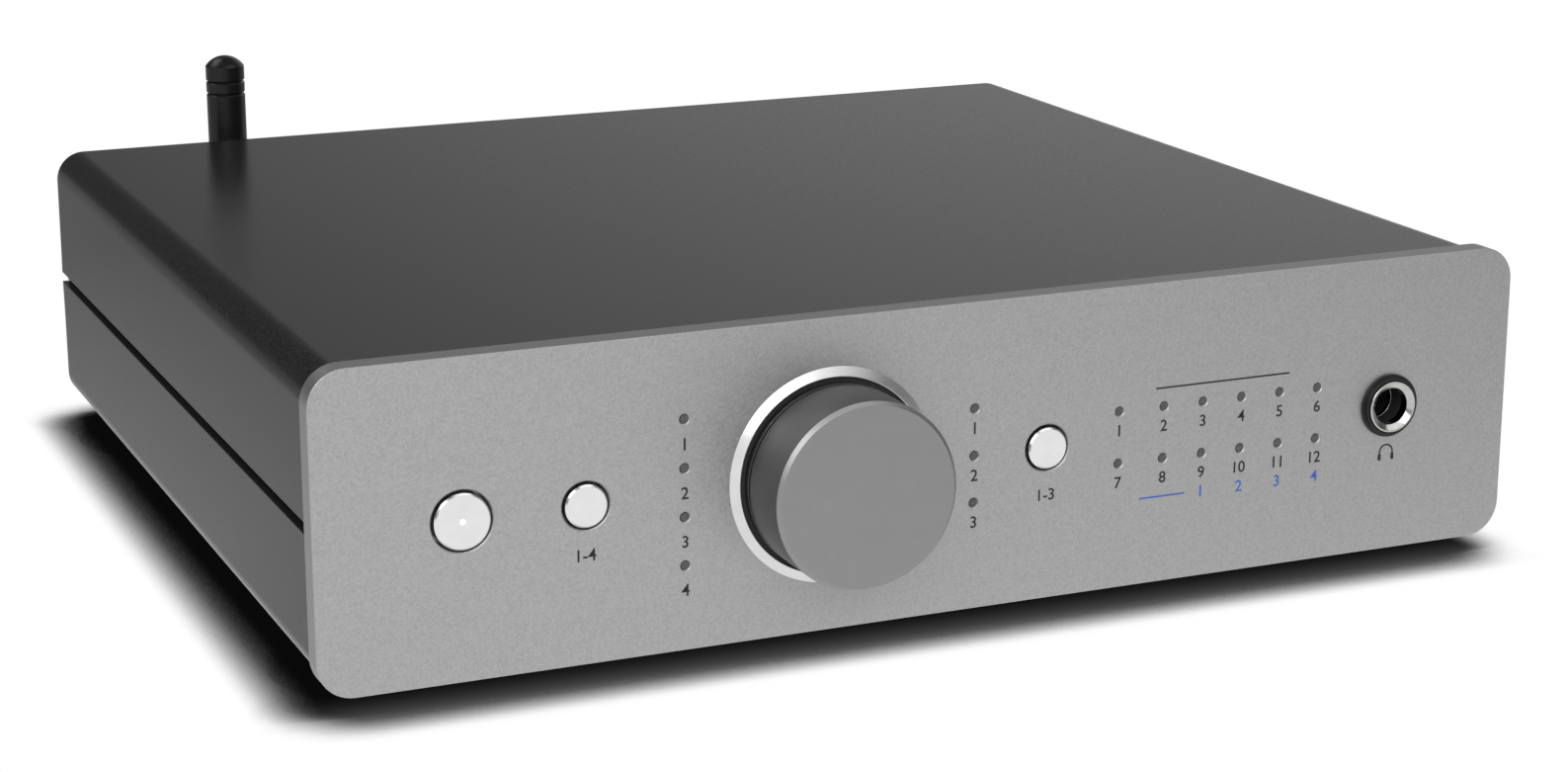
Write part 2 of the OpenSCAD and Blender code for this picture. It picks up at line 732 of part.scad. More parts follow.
// A folded U of sheet with a lip across its rear, standing on its outside
module folded_shell(h, r) {
    along_y(panel_back_y, rear_y) difference() {
        cup_section(shell_w, h, r);
        translate([0, sheet_t]) cup_section(inner_w, h, r - sheet_t);
    }
    along_y(rear_face_y, rear_y) intersection() {
        cup_section(shell_w, h, r);
        translate([-shell_w / 2, 0]) square([shell_w, lip_h]);
    }
}

// A slab with round corners and a chamfer round its upper face
module chamfered_slab(w, h, t, r, c) {
    rotate([90, 0, 0]) linear_extrude(h - 2 * r, center = true) slab_section(w, t, c);
    rotate([90, 0, 90]) linear_extrude(w - 2 * r, center = true) slab_section(h, t, c);
    for (x = [-1, 1], y = [-1, 1]) translate([x * (w / 2 - r), y * (h / 2 - r), 0])
        rotate_extrude() polygon([[0, 0], [r, 0], [r, t - c], [r - c, t], [0, t]]);
}

// The section of a slab with chamfered upper edges
module slab_section(w, t, c) {
    polygon([[-w / 2, 0], [w / 2, 0], [w / 2, t - c], [w / 2 - c, t], [-w / 2 + c, t], [-w / 2, t - c]]);
}

// A pan-head screw with a cross slot, its head standing on the origin and its shank below
module pan_screw(length) {
    difference() {
        cylinder(d = screw_head_d, h = screw_head_h);
        for (turn = [0, 90]) rotate([0, 0, turn]) translate([0, 0, screw_head_h])
            cube([screw_slot_l, screw_slot_w, screw_head_h], center = true);
    }
    translate([0, 0, -length]) cylinder(r = screw_r, h = length);
}

// Round holes through Y at a list of places
module holes_y(places, r, y0, y1) {
    for (place = places) translate([place[0], 0, place[1]]) rod_y(r, y0 - cut, y1 + cut);
}

// Case

module base_tray() {
    color("#5b5c5e") difference() {
        translate([0, 0, shell_z0])
            folded_shell(groove_z0 - shell_z0, tray_r);
        holes_y(lip_screw_places, screw_hole_r, rear_face_y, rear_y);
        for (place = foot_places) translate([place[0], place[1], shell_z0 - cut])
            cylinder(r = screw_hole_r, h = sheet_t + 2 * cut);
    }
}

module top_cover() {
    color("#58595b") difference() {
        translate([0, 0, shell_z1]) mirror([0, 0, 1])
            folded_shell(shell_z1 - groove_z1, cover_r);
        holes_y(lip_screw_places, screw_hole_r, rear_face_y, rear_y);
    }
}

// The holes that the controls need in the front panel and, a little wider, in the inner front
module control_holes(y0, y1, extra) {
    for (button = button_places)
        holes_y([[button[0], axis_z]], button[1] / 2 + button_gap + extra, y0, y1);
    holes_y([[knob_x, axis_z]], bush_d / 2 + bush_gap + extra, y0, y1);
    holes_y([[jack_x, axis_z]], jack_bush_r + jack_gap + extra, y0, y1);
    holes_y(light_places, light_r + extra, y0, y1);
}

module front_panel() {
    color("#8f9093") difference() {
        translate([0, panel_back_y, (panel_z0 + panel_z1) / 2]) rotate([90, 0, 0])
            chamfered_slab(panel_w, panel_h, panel_t, panel_r, panel_chamfer);
        control_holes(front_y, panel_back_y, 0);
        for (place = front_screw_places) translate([place[0], 0, place[1]])
            rod_y(screw_hole_r, inner_back_y - screw_l, panel_back_y + cut);
    }
}

module inner_front() {
    flange_x = inner_w / 2 - tray_r;
    color("#a9abae") difference() {
        union() {
            along_y(panel_back_y, inner_back_y) bulkhead_section();
            block([-flange_x, flange_x], [panel_back_y, panel_back_y + flange_d],
                [floor_z, floor_z + sheet_t]);
        }
        control_holes(panel_back_y, inner_back_y, light_gap);
        holes_y(front_screw_places, screw_hole_r, panel_back_y, inner_back_y);
    }
}

module rear_panel() {
    color("#4a4b4d") difference() {
        along_y(rear_inner_y, rear_face_y) bulkhead_section();
        holes_y(lip_screw_places, screw_hole_r, rear_inner_y, rear_face_y);
        holes_y([for (x = xlr_places) [x, middle_z]], xlr_cup_d / 2 + hole_gap, rear_inner_y, rear_face_y);
        holes_y(xlr_screw_places(), screw_hole_r, rear_inner_y, rear_face_y);
        holes_y(phono_places, phono_r + hole_gap, rear_inner_y, rear_face_y);
        holes_y([[aerial_x, aerial_z]], aerial_thread_d / 2 + hole_gap, rear_inner_y, rear_face_y);
        holes_y([[dc_x, dc_z]], dc_snout_d / 2 + hole_gap, rear_inner_y, rear_face_y);
        along_y(rear_inner_y - cut, rear_face_y + cut) {
            for (x = digital_places) translate([x, optical_z]) square(snout_w + 2 * hole_gap, center = true);
            translate([usb_x, usb_z])
                square([usb_w + 2 * hole_gap, usb_h + 2 * hole_gap], center = true);
        }
    }
}

module side_rail(side) {
    z = [groove_z0 - rail_lap, groove_z1 + rail_lap];
    color("#101010") translate([side * (inner_w - rail_t) / 2, 0, 0])
        block([-rail_t / 2, rail_t / 2], [inner_back_y, rear_inner_y], z);
}

module foot(x, y) {
    r = foot_d / 2;
    color("#1b1b1c") translate([x * foot_x, y * foot_y, 0]) difference() {
        cylinder(r1 = r - foot_slope, r2 = r, h = shell_z0);
        translate([0, 0, -cut]) cylinder(d = foot_pocket_d, h = shell_z0 - foot_seat + cut);
        cylinder(r = screw_hole_r, h = shell_z0 + cut);
    }
}

module foot_screws() {
    color("#77797c") for (place = foot_places) translate([place[0], place[1], shell_z0 - foot_seat])
        mirror([0, 0, 1]) pan_screw(foot_seat + sheet_t + foot_screw_reach);
}

module front_screws() {
    color("#b7b8ba") for (place = front_screw_places)
        translate([place[0], inner_back_y, place[1]]) rotate([-90, 0, 0]) pan_screw(screw_l);
}

function xlr_screw_places() = [for (x = xlr_places, side = [-1, 1])
    [x + side * xlr_screw_x, middle_z + side * xlr_screw_z]];

module rear_screws() {
    color("#2b2b2c") {
        for (place = lip_screw_places)
            translate([place[0], rear_y, place[1]]) rotate([-90, 0, 0]) pan_screw(screw_l);
        for (place = xlr_screw_places())
            translate([place[0], rear_face_y + xlr_flange_t, place[1]]) rotate([-90, 0, 0])
                pan_screw(screw_l);
    }
}

// Boards and what holds them

module front_board() {
    color("#1f5a34") difference() {
        block([-front_board_x, front_board_x], [front_board_y0, front_board_y1],
            [front_board_z0, front_board_z1]);
        holes_y(front_post_places, screw_hole_r, front_board_y0, front_board_y1);
        translate([jack_x, 0, axis_z]) along_y(front_board_y0 - cut, front_board_y1 + cut)
            square(jack_body_w + 2 * jack_window_gap, center = true);
    }
}

module main_board() {
    color("#1f5a34") difference() {
        block([-board_x, board_x], [board_y0, board_y1], [board_bottom, board_top]);
        for (place = board_post_places) translate([place[0], place[1], board_bottom - cut])
            cylinder(r = screw_hole_r, h = board_t + 2 * cut);
    }
}

module board_posts() {
    color("#c9a64a") {
        for (place = board_post_places) translate([place[0], place[1], floor_z]) difference() {
            cylinder(d = post_d, h = board_post_h);
            translate([0, 0, board_post_h + board_t - screw_l]) cylinder(r = screw_hole_r, h = board_post_h);
        }
        for (place = front_post_places) translate([place[0], 0, place[1]]) difference() {
            rod_y(post_d / 2, inner_back_y, front_board_y0);
            rod_y(screw_hole_r, front_board_y1 - screw_l, front_board_y0 + cut);
        }
    }
}

module board_screws() {
    color("#b7b8ba") {
        for (place = board_post_places) translate([place[0], place[1], board_top]) pan_screw(screw_l);
        for (place = front_post_places)
            translate([place[0], front_board_y1, place[1]]) rotate([-90, 0, 0]) pan_screw(screw_l);
    }
}

module board_link() {
    bend_y = board_y0 + link_land;
    top_z = board_top + link_rise;
    x = [link_x - link_w / 2, link_x + link_w / 2];
    color("#d8d8d4") {
        block(x, [front_board_y1, bend_y], [top_z - link_t, top_z]);
        block(x, [bend_y - link_t, bend_y], [board_top, top_z]);
    }
}

// A block of the given size that stands on the main board
module on_board(x, y, size) {
    translate([x - size[0] / 2, y - size[1] / 2, board_top]) cube(size);
}

module signal_chips() {
    y = board_y0 + chip_inset;
    color("#1a1a1c") {
        on_board(processor_x, y, [processor_w, processor_w, chip_t]);
        for (i = [0, 1]) on_board(converter_x + i * converter_step, y, [converter_w, converter_w, chip_t]);
    }
}

module supply_capacitors() {
    color("#23252b") for (column = [0, 1], row = [0:2])
        translate([-board_x + capacitor_inset_x + column * capacitor_pitch,
            board_y0 + capacitor_inset_y + row * capacitor_pitch, board_top])
            cylinder(d = capacitor_d, h = capacitor_h);
}

module voltage_regulators() {
    color("#1a1a1c") for (column = [0, 1])
        on_board(-board_x + capacitor_inset_x + column * capacitor_pitch, board_y0 + regulator_inset,
            [regulator_w, regulator_l, regulator_h]);
}

module output_relays() {
    color("#e4e2da") for (x = xlr_places) on_board(x, board_y1 - relay_inset, [relay_w, relay_l, relay_h]);
}

module wireless_module() {
    can_w = module_w - 2 * module_edge;
    color("#5f6c78") {
        on_board(aerial_x, lead_down_y, [module_w, module_w, module_t]);
        translate([0, 0, module_t]) on_board(aerial_x, lead_down_y, [can_w, can_w, module_can_h]);
    }
}

// Volume control

module volume_knob() {
    color("#7d7e80") translate([knob_x, 0, axis_z]) turned(front_y) polygon([
        [0, knob_reach], [knob_r - knob_chamfer, knob_reach], [knob_r, knob_reach - knob_chamfer],
        [knob_r, knob_line + knob_line_t], [knob_r - knob_line_t, knob_line],
        [knob_r, knob_line - knob_line_t], [knob_r, knob_gap],
        [nut_room_r, knob_gap], [nut_room_r, nut_room_l],
        [shaft_d / 2 + press_gap, nut_room_l], [shaft_d / 2 + press_gap, shaft_reach], [0, shaft_reach]
    ]);
}

module knob_ring() {
    color("#dcdcdc") translate([knob_x, 0, axis_z]) turned(front_y) polygon([
        [ring_r0, 0], [ring_r0 + ring_w, 0], [ring_r0 + ring_land, ring_h], [ring_r0, ring_h]
    ]);
}

module encoder_body() {
    color("#8c8f92") translate([knob_x, 0, axis_z]) difference() {
        union() {
            along_y(inner_back_y, front_board_y0) square(encoder_w, center = true);
            rod_y(bush_d / 2, front_y - bush_reach, inner_back_y + cut);
        }
        rod_y(shaft_d / 2 + shaft_gap, front_y - bush_reach - cut, front_board_y0 - encoder_end_t);
    }
}

module encoder_shaft() {
    color("#c4c6c8") translate([knob_x, 0, axis_z])
        rod_y(shaft_d / 2, front_y - shaft_reach, front_board_y0 - encoder_end_t - end_gap);
}

module encoder_nut() {
    color("#b7b8ba") translate([knob_x, 0, axis_z]) difference() {
        translate([0, front_y, 0]) rotate([90, 0, 0]) cylinder(d = nut_d, h = nut_t, $fn = 6);
        rod_y(bush_d / 2 + press_gap, front_y - nut_t - cut, front_y + cut);
    }
}

// Buttons

// The turned outline of a button, as a radius and a distance in front of the panel
module button(x, d) {
    r = d / 2;
    flange_r = r + button_flange_w;
    translate([x, 0, axis_z]) turned(front_y) polygon([
        [0, button_proud], [r - button_chamfer, button_proud], [r, button_proud - button_chamfer],
        [r, front_y - flange_y0], [flange_r, front_y - flange_y0], [flange_r, front_y - flange_y1],
        [stem_d / 2, front_y - flange_y1], [stem_d / 2, front_y - stem_y1], [0, front_y - stem_y1]
    ]);
}

module power_button() {
    color("#dddddd") difference() {
        button(power_x, power_d);
        translate([power_x, 0, axis_z])
            rod_y(lens_d / 2 + press_gap, front_y - button_proud - cut, front_y - button_proud + lens_l);
    }
}

module power_lens() {
    color("#f4f4f4") translate([power_x, 0, axis_z])
        rod_y(lens_d / 2, front_y - button_proud, front_y - button_proud + lens_l);
}

module source_button() {
    color("#dddddd") button(source_x, button_d);
}

module filter_button() {
    color("#dddddd") button(filter_x, button_d);
}

module button_switches() {
    color("#202021") for (place = button_places) translate([place[0], 0, axis_z]) difference() {
        along_y(switch_y0, front_board_y0) square(switch_w, center = true);
        rod_y(stem_d / 2 + stem_gap, switch_y0 - cut, switch_floor_y);
    }
}

// Indicators

// A moulded carrier with a light pipe at each place
module light_pipe(places, low, high) {
    edge = light_r + pipe_edge;
    bar_y = [inner_back_y, inner_back_y + pipe_bar_t];
    pipe_y1 = front_board_y0 - lamp_h - lamp_gap;
    block([low[0] - edge, high[0] + edge], bar_y, [low[1] - edge, high[1] + edge]);
    for (place = places) translate([place[0], 0, place[1]])
        rod_y(light_r - light_gap, front_y + light_sink, pipe_y1);
}

module source_light_pipe() {
    color("#4a4a4c") light_pipe(source_places, source_places[0], source_places[source_lights - 1]);
}

module filter_light_pipe() {
    color("#4a4a4c") light_pipe(filter_places, filter_places[0], filter_places[filter_lights - 1]);
}

module rate_light_pipe() {
    color("#4a4a4c") light_pipe(rate_places, rate_places[0], rate_places[2 * rate_columns - 1]);
}

module indicator_lamps() {
    color("#e8e6d8") for (place = light_places) translate([place[0], 0, place[1]])
        along_y(front_board_y0 - lamp_h, front_board_y0) square(lamp_w, center = true);
}

// Headphone socket

module jack_bush() {
    color("#d6d6d6") translate([jack_x, 0, axis_z]) turned(front_y) polygon([
        [jack_bore_r, front_y - inner_back_y], [jack_bush_r, front_y - inner_back_y], [jack_bush_r, 0],
        [jack_rim_r, 0], [jack_rim_r, jack_bush_reach], [jack_rim_r - jack_rim_land, jack_bush_reach],
        [jack_bore_r, jack_bush_reach - jack_funnel]
    ]);
}

module jack_collar() {
    color("#161616") translate([jack_x, 0, axis_z]) turned(front_y) polygon([
        [jack_rim_r + jack_gap, 0], [collar_d / 2, 0], [collar_d / 2 - collar_slope, collar_h],
        [jack_rim_r + jack_gap, collar_h]
    ]);
}

module jack_body() {
    slot_x = contact_w / 2 + contact_gap;
    slot_y = contact_l / 2 + contact_gap;
    color("#141414") translate([jack_x, 0, axis_z]) difference() {
        along_y(inner_back_y, jack_end_y + jack_end_t) square(jack_body_w, center = true);
        rod_y(jack_bore_r, inner_back_y - cut, jack_end_y);
        for (y = contact_places) block([-slot_x, slot_x], [y - slot_y, y + slot_y], [0, jack_body_w]);
    }
}

module jack_contacts() {
    leaf_x = [-contact_w / 2, contact_w / 2];
    leaf_z = jack_bore_r + contact_gap;
    color("#d9c37a") translate([jack_x, 0, axis_z]) for (y = contact_places) {
        end_y = y + contact_l / 2;
        block(leaf_x, [end_y - contact_l, end_y], [leaf_z, leaf_z + contact_t]);
        block(leaf_x, [end_y - contact_t, end_y], [leaf_z, jack_body_w / 2]);
    }
}

// Balanced outputs

module xlr(x) {
    color("#19191a") translate([x, 0, 0]) difference() {
        union() {
            translate([0, 0, middle_z]) along_y(rear_face_y, rear_face_y + xlr_flange_t)
                rounded_rect(xlr_flange_w, xlr_flange_h, xlr_flange_r);
            translate([0, 0, middle_z]) rod_y(xlr_cup_d / 2, xlr_base_y, rear_face_y + cut);
            block([-xlr_foot_w / 2, xlr_foot_w / 2], [xlr_base_y, rear_inner_y - hole_gap],
                [board_top, middle_z]);
        }
        translate([0, 0, middle_z]) rod_y(xlr_bore_d / 2, xlr_floor_y, rear_face_y + xlr_flange_t + cut);
        for (side = [-1, 1]) translate([side * xlr_screw_x, 0, middle_z + side * xlr_screw_z])
            rod_y(screw_hole_r, rear_face_y - cut, rear_face_y + xlr_flange_t + cut);
    }
}

module connector_pins() {
    color("#cfcfcf") {
        for (x = xlr_places, angle = xlr_pin_angles)
            translate([x + xlr_pin_circle_r * cos(angle), 0, middle_z + xlr_pin_circle_r * sin(angle)])
                rod_y(xlr_pin_d / 2, xlr_floor_y, xlr_floor_y + xlr_pin_l);
        translate([dc_x, 0, dc_z]) rod_y(dc_pin_d / 2, dc_y1 - dc_hole_l, dc_y1 - dc_hole_l + dc_pin_l);
    }
}

// Phono connectors

module line_out_block() {
    color("#19191a") block([line_x - line_block_w / 2, line_x + line_block_w / 2],
        [rear_inner_y - line_block_d, rear_inner_y], [board_top, block_top]);
}

module phono_shells() {
    color("#d0cdc6") for (place = phono_places) translate([place[0], 0, place[1]]) difference() {
        union() {
            rod_y(phono_r, rear_inner_y, rear_face_y + phono_reach);
            rod_y(phono_collar_d / 2, rear_face_y, rear_face_y + phono_collar_t);
        }
        rod_y(phono_r - phono_wall, rear_inner_y - cut, rear_face_y + phono_reach + cut);
    }
}

module phono_insulators() {
    end_y = rear_face_y + phono_reach - phono_sink;
    color("#e6e6e6") for (place = phono_places) translate([place[0], 0, place[1]]) difference() {
        rod_y(phono_r - phono_wall - press_gap, rear_inner_y, end_y);
        rod_y(phono_hole_d / 2, end_y - phono_hole_l, end_y + cut);
    }
}

// Digital inputs

module digital_block(x) {
    color("#19191a") translate([x, 0, 0]) difference() {
        union() {
            block([-digital_w / 2, digital_w / 2], [rear_inner_y - digital_d, rear_inner_y],
                [board_top, block_top]);
            translate([0, 0, optical_z]) along_y(rear_inner_y - cut, snout_y) square(snout_w, center = true);
        }
        difference() {
            translate([0, 0, optical_z]) along_y(cavity_y, snout_y + cut) square(cavity_w, center = true);
            translate([0, 0, optical_z]) rod_y(ferrule_d / 2, cavity_y - cut, cavity_y + ferrule_l);
        }
        translate([0, pivot_y, pivot_z]) rotate([0, 90, 0])
            cylinder(r = pivot_r + pivot_gap, h = cavity_w + 2 * (pivot_l + pivot_gap), center = true);
    }
}

module optical_shutter(x) {
    w = cavity_w - 2 * shutter_gap;
    color("#262627") translate([x, pivot_y, pivot_z]) {
        block([-w / 2, w / 2], [-pivot_r, pivot_r], [optical_z - cavity_w / 2 + shutter_gap - pivot_z, 0]);
        rotate([0, 90, 0]) cylinder(r = pivot_r, h = cavity_w + 2 * pivot_l, center = true);
    }
}

// USB and power

module usb_socket() {
    color("#b9babc") translate([usb_x, 0, usb_z]) difference() {
        along_y(rear_inner_y - usb_d, usb_y1) square([usb_w, usb_h], center = true);
        along_y(usb_y1 - usb_open_d, usb_y1 + cut) square([usb_open_w, usb_open_h], center = true);
    }
}

module usb_tongue() {
    color("#e9e9e6") translate([usb_x, 0, usb_z])
        along_y(usb_y1 - usb_open_d, usb_y1 - usb_open_d + usb_tongue_l)
            square([usb_tongue_w, usb_tongue_h], center = true);
}

module dc_socket() {
    color("#19191a") translate([dc_x, 0, dc_z]) difference() {
        union() {
            along_y(rear_inner_y - dc_d, rear_inner_y) square([dc_w, dc_h], center = true);
            rod_y(dc_snout_d / 2, rear_inner_y - cut, dc_y1);
        }
        rod_y(dc_hole_d / 2, dc_y1 - dc_hole_l, dc_y1 + cut);
    }
}

// Aerial

module aerial_socket() {
    color("#c9ab55") translate([aerial_x, 0, aerial_z]) {
        rod_y(aerial_thread_d / 2, socket_y0, thread_y1);
        for (y = [rear_inner_y, rear_face_y + aerial_nut_t]) translate([0, y, 0]) rotate([90, 0, 0])
            cylinder(d = aerial_nut_d, h = aerial_nut_t, $fn = 6);
    }
}

module aerial_lead() {
    bend_y = socket_y0 - lead_run;
    color("#2a2a2a") translate([aerial_x, 0, 0]) {
        translate([0, 0, aerial_z]) rod_y(lead_d / 2, bend_y, socket_y0);
        translate([0, bend_y, aerial_z - lead_bend_r]) rotate([180, -90, 0])
            rotate_extrude(angle = 90) translate([lead_bend_r, 0]) circle(d = lead_d);
        translate([0, lead_down_y, module_top]) cylinder(d = lead_d, h = aerial_z - lead_bend_r - module_top);
    }
}

module aerial_base() {
    tongue_r = knuckle_r - tongue_gap;
    color("#232324") translate([aerial_x, 0, aerial_z]) {
        difference() {
            rod_y(coupling_d / 2, coupling_y0, coupling_y1);
            rod_y(aerial_thread_d / 2 + coupling_gap, coupling_y0 - cut, coupling_y1 - coupling_end_t);
        }
        block([-tongue_w / 2, tongue_w / 2], [coupling_y1 - coupling_end_t, aerial_y], [-tongue_r, tongue_r]);
        translate([0, aerial_y, 0]) rotate([0, 90, 0]) {
            cylinder(r = tongue_r, h = tongue_w, center = true);
            cylinder(d = knuckle_pin_d, h = knuckle_w, center = true);
        }
    }
}

// The V of a ring groove, as a radius and a height
module ring_groove_section() {
    outer = aerial_r + cut;
    half = ring_groove_t + cut;
    polygon([[aerial_r - ring_groove_t, 0], [outer, half], [outer, -half]]);
}

module aerial_stub() {
    stub_h = aerial_top - aerial_z;
    slot_w = tongue_w + 2 * tongue_gap;
    slot_top = knuckle_r + tongue_gap;
    color("#1c1c1d") translate([aerial_x, aerial_y, aerial_z]) difference() {
        union() {
            intersection() {
                cylinder(r = aerial_r, h = stub_h);
                translate([0, 0, stub_h - dome_r]) {
                    sphere(dome_r);
                    translate([0, 0, -stub_h]) cylinder(r = dome_r, h = stub_h);
                }
            }
            rotate([0, 90, 0]) cylinder(r = knuckle_r, h = knuckle_w, center = true);
        }
        translate([0, 0, slot_top / 2 - knuckle_r / 2])
            cube([slot_w, 2 * knuckle_r + cut, knuckle_r + slot_top + cut], center = true);
        rotate([0, 90, 0])
            cylinder(d = knuckle_pin_d + 2 * knuckle_pin_gap, h = knuckle_w + cut, center = true);
        for (i = [0, 1]) translate([0, 0, stub_h - ring_groove_z - i * ring_groove_pitch])
            rotate_extrude() ring_groove_section();
    }
}

base_tray();
top_cover();
front_panel();
inner_front();
rear_panel();
side_rail(-1);  // side_rail_left
side_rail(1);  // side_rail_right
foot(-1, -1);  // foot_front_left
foot(1, -1);  // foot_front_right
foot(-1, 1);  // foot_rear_left
foot(1, 1);  // foot_rear_right
foot_screws();
front_screws();
rear_screws();
board_screws();
volume_knob();
knob_ring();
encoder_body();
encoder_shaft();
encoder_nut();
power_button();
power_lens();
source_button();
filter_button();
button_switches();
source_light_pipe();
filter_light_pipe();
rate_light_pipe();
indicator_lamps();
front_board();
main_board();
board_posts();
board_link();
signal_chips();
supply_capacitors();
voltage_regulators();
output_relays();
wireless_module();
jack_bush();
jack_collar();
jack_body();
jack_contacts();
xlr(xlr_left_x);  // xlr_left
xlr(xlr_right_x);  // xlr_right
connector_pins();
line_out_block();
phono_shells();
phono_insulators();
digital_block(digital_1_x);  // digital_block_1
digital_block(digital_2_x);  // digital_block_2
optical_shutter(digital_1_x);  // optical_shutter_1
optical_shutter(digital_2_x);  // optical_shutter_2
usb_socket();
usb_tongue();
dc_socket();
aerial_socket();
aerial_lead();
aerial_base();
aerial_stub();
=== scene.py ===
"""Looks of the desktop DAC: its visible pieces, finishes, studio and camera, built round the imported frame."""

import json
import math

import bpy
import numpy as np
from mathutils import Matrix, Vector
from mathutils.geometry import delaunay_2d_cdt


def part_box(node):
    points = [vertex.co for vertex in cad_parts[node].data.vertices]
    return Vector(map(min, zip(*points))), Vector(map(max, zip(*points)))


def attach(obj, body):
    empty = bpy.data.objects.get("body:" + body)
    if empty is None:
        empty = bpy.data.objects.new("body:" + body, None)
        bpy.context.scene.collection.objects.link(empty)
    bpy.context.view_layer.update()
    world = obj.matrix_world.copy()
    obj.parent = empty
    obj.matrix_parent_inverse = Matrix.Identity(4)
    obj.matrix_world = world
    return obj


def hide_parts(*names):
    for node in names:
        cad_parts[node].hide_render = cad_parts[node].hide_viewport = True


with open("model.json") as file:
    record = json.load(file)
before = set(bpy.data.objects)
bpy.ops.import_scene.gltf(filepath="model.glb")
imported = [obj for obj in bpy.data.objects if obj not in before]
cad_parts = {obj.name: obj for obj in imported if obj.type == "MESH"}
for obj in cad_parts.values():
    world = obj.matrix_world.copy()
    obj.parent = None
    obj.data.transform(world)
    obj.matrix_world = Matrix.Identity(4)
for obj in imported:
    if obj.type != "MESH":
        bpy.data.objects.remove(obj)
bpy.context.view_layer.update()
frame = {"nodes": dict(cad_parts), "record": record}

# Units and fineness
MM = 0.001
FULL_TURN = 2 * math.pi
QUARTER = math.pi / 2
ARC_STEPS = 7
FINE_ARC_STEPS = 17
TURN_STEPS = 128
SMALL_TURN_STEPS = 40
SHARP_ANGLE = math.radians(32)
WELD_DIGITS = 5
CUT_INSIDE_HOLES = 2
CUT_TOLERANCE = 1e-6
STROKE_SPREAD = 0.012
TRIANGLE_CORNERS = 3

# A piece is drawn in its own plane and height, then stood to face one way; each row is where one axis goes
FACING_FRONT = np.array([[1, 0, 0], [0, 0, 1], [0, -1, 0]], float)
FACING_REAR = np.array([[-1, 0, 0], [0, 0, 1], [0, 1, 0]], float)
FACING_UP = np.eye(3)
FACING_DOWN = np.array([[1, 0, 0], [0, -1, 0], [0, 0, -1]], float)
FACING_RIGHT = np.array([[0, 1, 0], [0, 0, 1], [1, 0, 0]], float)
HEIGHT_AXIS = np.array([0.0, 0.0, 1.0])


# Mesh core


def box_mm(node):
    """Low corner, high corner and middle of a CAD node, in millimetres."""
    low, high = (np.array(corner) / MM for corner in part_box(node))
    return low, high, (low + high) / 2


def size_mm(node):
    """Width, depth and height of a CAD node, in millimetres."""
    low, high, _ = box_mm(node)
    return high - low


def rear_end(node):
    """Middle of a CAD node's rear end, in millimetres."""
    _, high, mid = box_mm(node)
    return mid[0], high[1], mid[2]


def grid_faces(rows, columns):
    """Quads between each row of a grid of points and the next, with the last column joined to the first."""
    row = np.arange(rows - 1)[:, None] * columns
    column = np.arange(columns)[None, :]
    following = (column + 1) % columns
    corners = [row + column, row + columns + column, row + columns + following, row + following]
    return np.stack(corners, axis=-1).reshape(-1, len(corners))


def joined(*surfaces):
    """One surface out of several: all their points in a row, and each one's faces counted on from its own."""
    starts = np.cumsum([0] + [len(points) for points, _ in surfaces])
    points = np.concatenate([points for points, _ in surfaces])
    return points, [block + start for (_, faces), start in zip(surfaces, starts) for block in faces]


def stood(surface, facing, place):
    """The surface with its plane and height turned to face one way, set down at a place."""
    points, faces = surface
    return points @ facing + np.asarray(place, float), faces


def copied(surface, facing, places):
    """The same surface stood at each of several places."""
    return joined(*[stood(surface, facing, place) for place in places])


def welded(points, faces):
    """Joins points that fall together; a quad with two corners on one point becomes a triangle."""
    _, kept, target = np.unique(np.round(points, WELD_DIGITS), axis=0, return_index=True, return_inverse=True)
    target = target.reshape(-1)
    blocks = []
    for block in faces:
        corners = target[block]
        if corners.shape[1] == TRIANGLE_CORNERS:
            blocks.append(corners)
            continue
        first_pole = corners[:, 0] == corners[:, 3]
        last_pole = corners[:, 1] == corners[:, 2]
        blocks.append(corners[~(first_pole | last_pole)])
        blocks.append(corners[first_pole][:, [0, 1, 2]])
        blocks.append(corners[last_pole][:, [0, 1, 3]])
    return points[kept], [block for block in blocks if len(block)]


def rounded(corners, radii, steps=ARC_STEPS, closed=True):
    """Outline through corners, each swapped for an arc that touches both of its sides.

    An arc starts radius times the tangent of half the turn before its corner. Its normal starts square to the
    side that comes in and turns evenly to the side that goes out. Gives the points and their outward normals.
    An open outline keeps its two ends as they are.
    """
    corners = np.asarray(corners, float)
    sides = np.roll(corners, -1, axis=0) - corners
    going = sides / np.linalg.norm(sides, axis=1, keepdims=True)
    coming = np.roll(going, 1, axis=0)
    cross = coming[:, 0] * going[:, 1] - coming[:, 1] * going[:, 0]
    turn = np.arctan2(cross, (coming * going).sum(axis=1))
    bulge = np.broadcast_to(radii, len(corners)) * np.sign(turn)
    start = corners - coming * (bulge * np.tan(turn / 2))[:, None]
    across = np.stack([coming[:, 1], -coming[:, 0]], axis=1)
    centre = start - across * bulge[:, None]
    angle = turn[:, None] * np.linspace(0, 1, steps)
    normals = np.stack([across[:, :1] * np.cos(angle) - across[:, 1:] * np.sin(angle),
                        across[:, :1] * np.sin(angle) + across[:, 1:] * np.cos(angle)], axis=2)
    points = centre[:, None] + normals * bulge[:, None, None]
    if closed:
        return points.reshape(-1, 2), normals.reshape(-1, 2)
    return np.concatenate([corners[:1], points[1:-1].reshape(-1, 2), corners[-1:]]), None


def rectangle(middle, width, height, radius, steps=ARC_STEPS):
    """Outline of a rectangle with rounded corners, counter-clockwise."""
    signs = np.array([[-1, -1], [1, -1], [1, 1], [-1, 1]])
    return rounded(np.asarray(middle, float) + signs * np.array([width, height]) / 2, radius, steps)


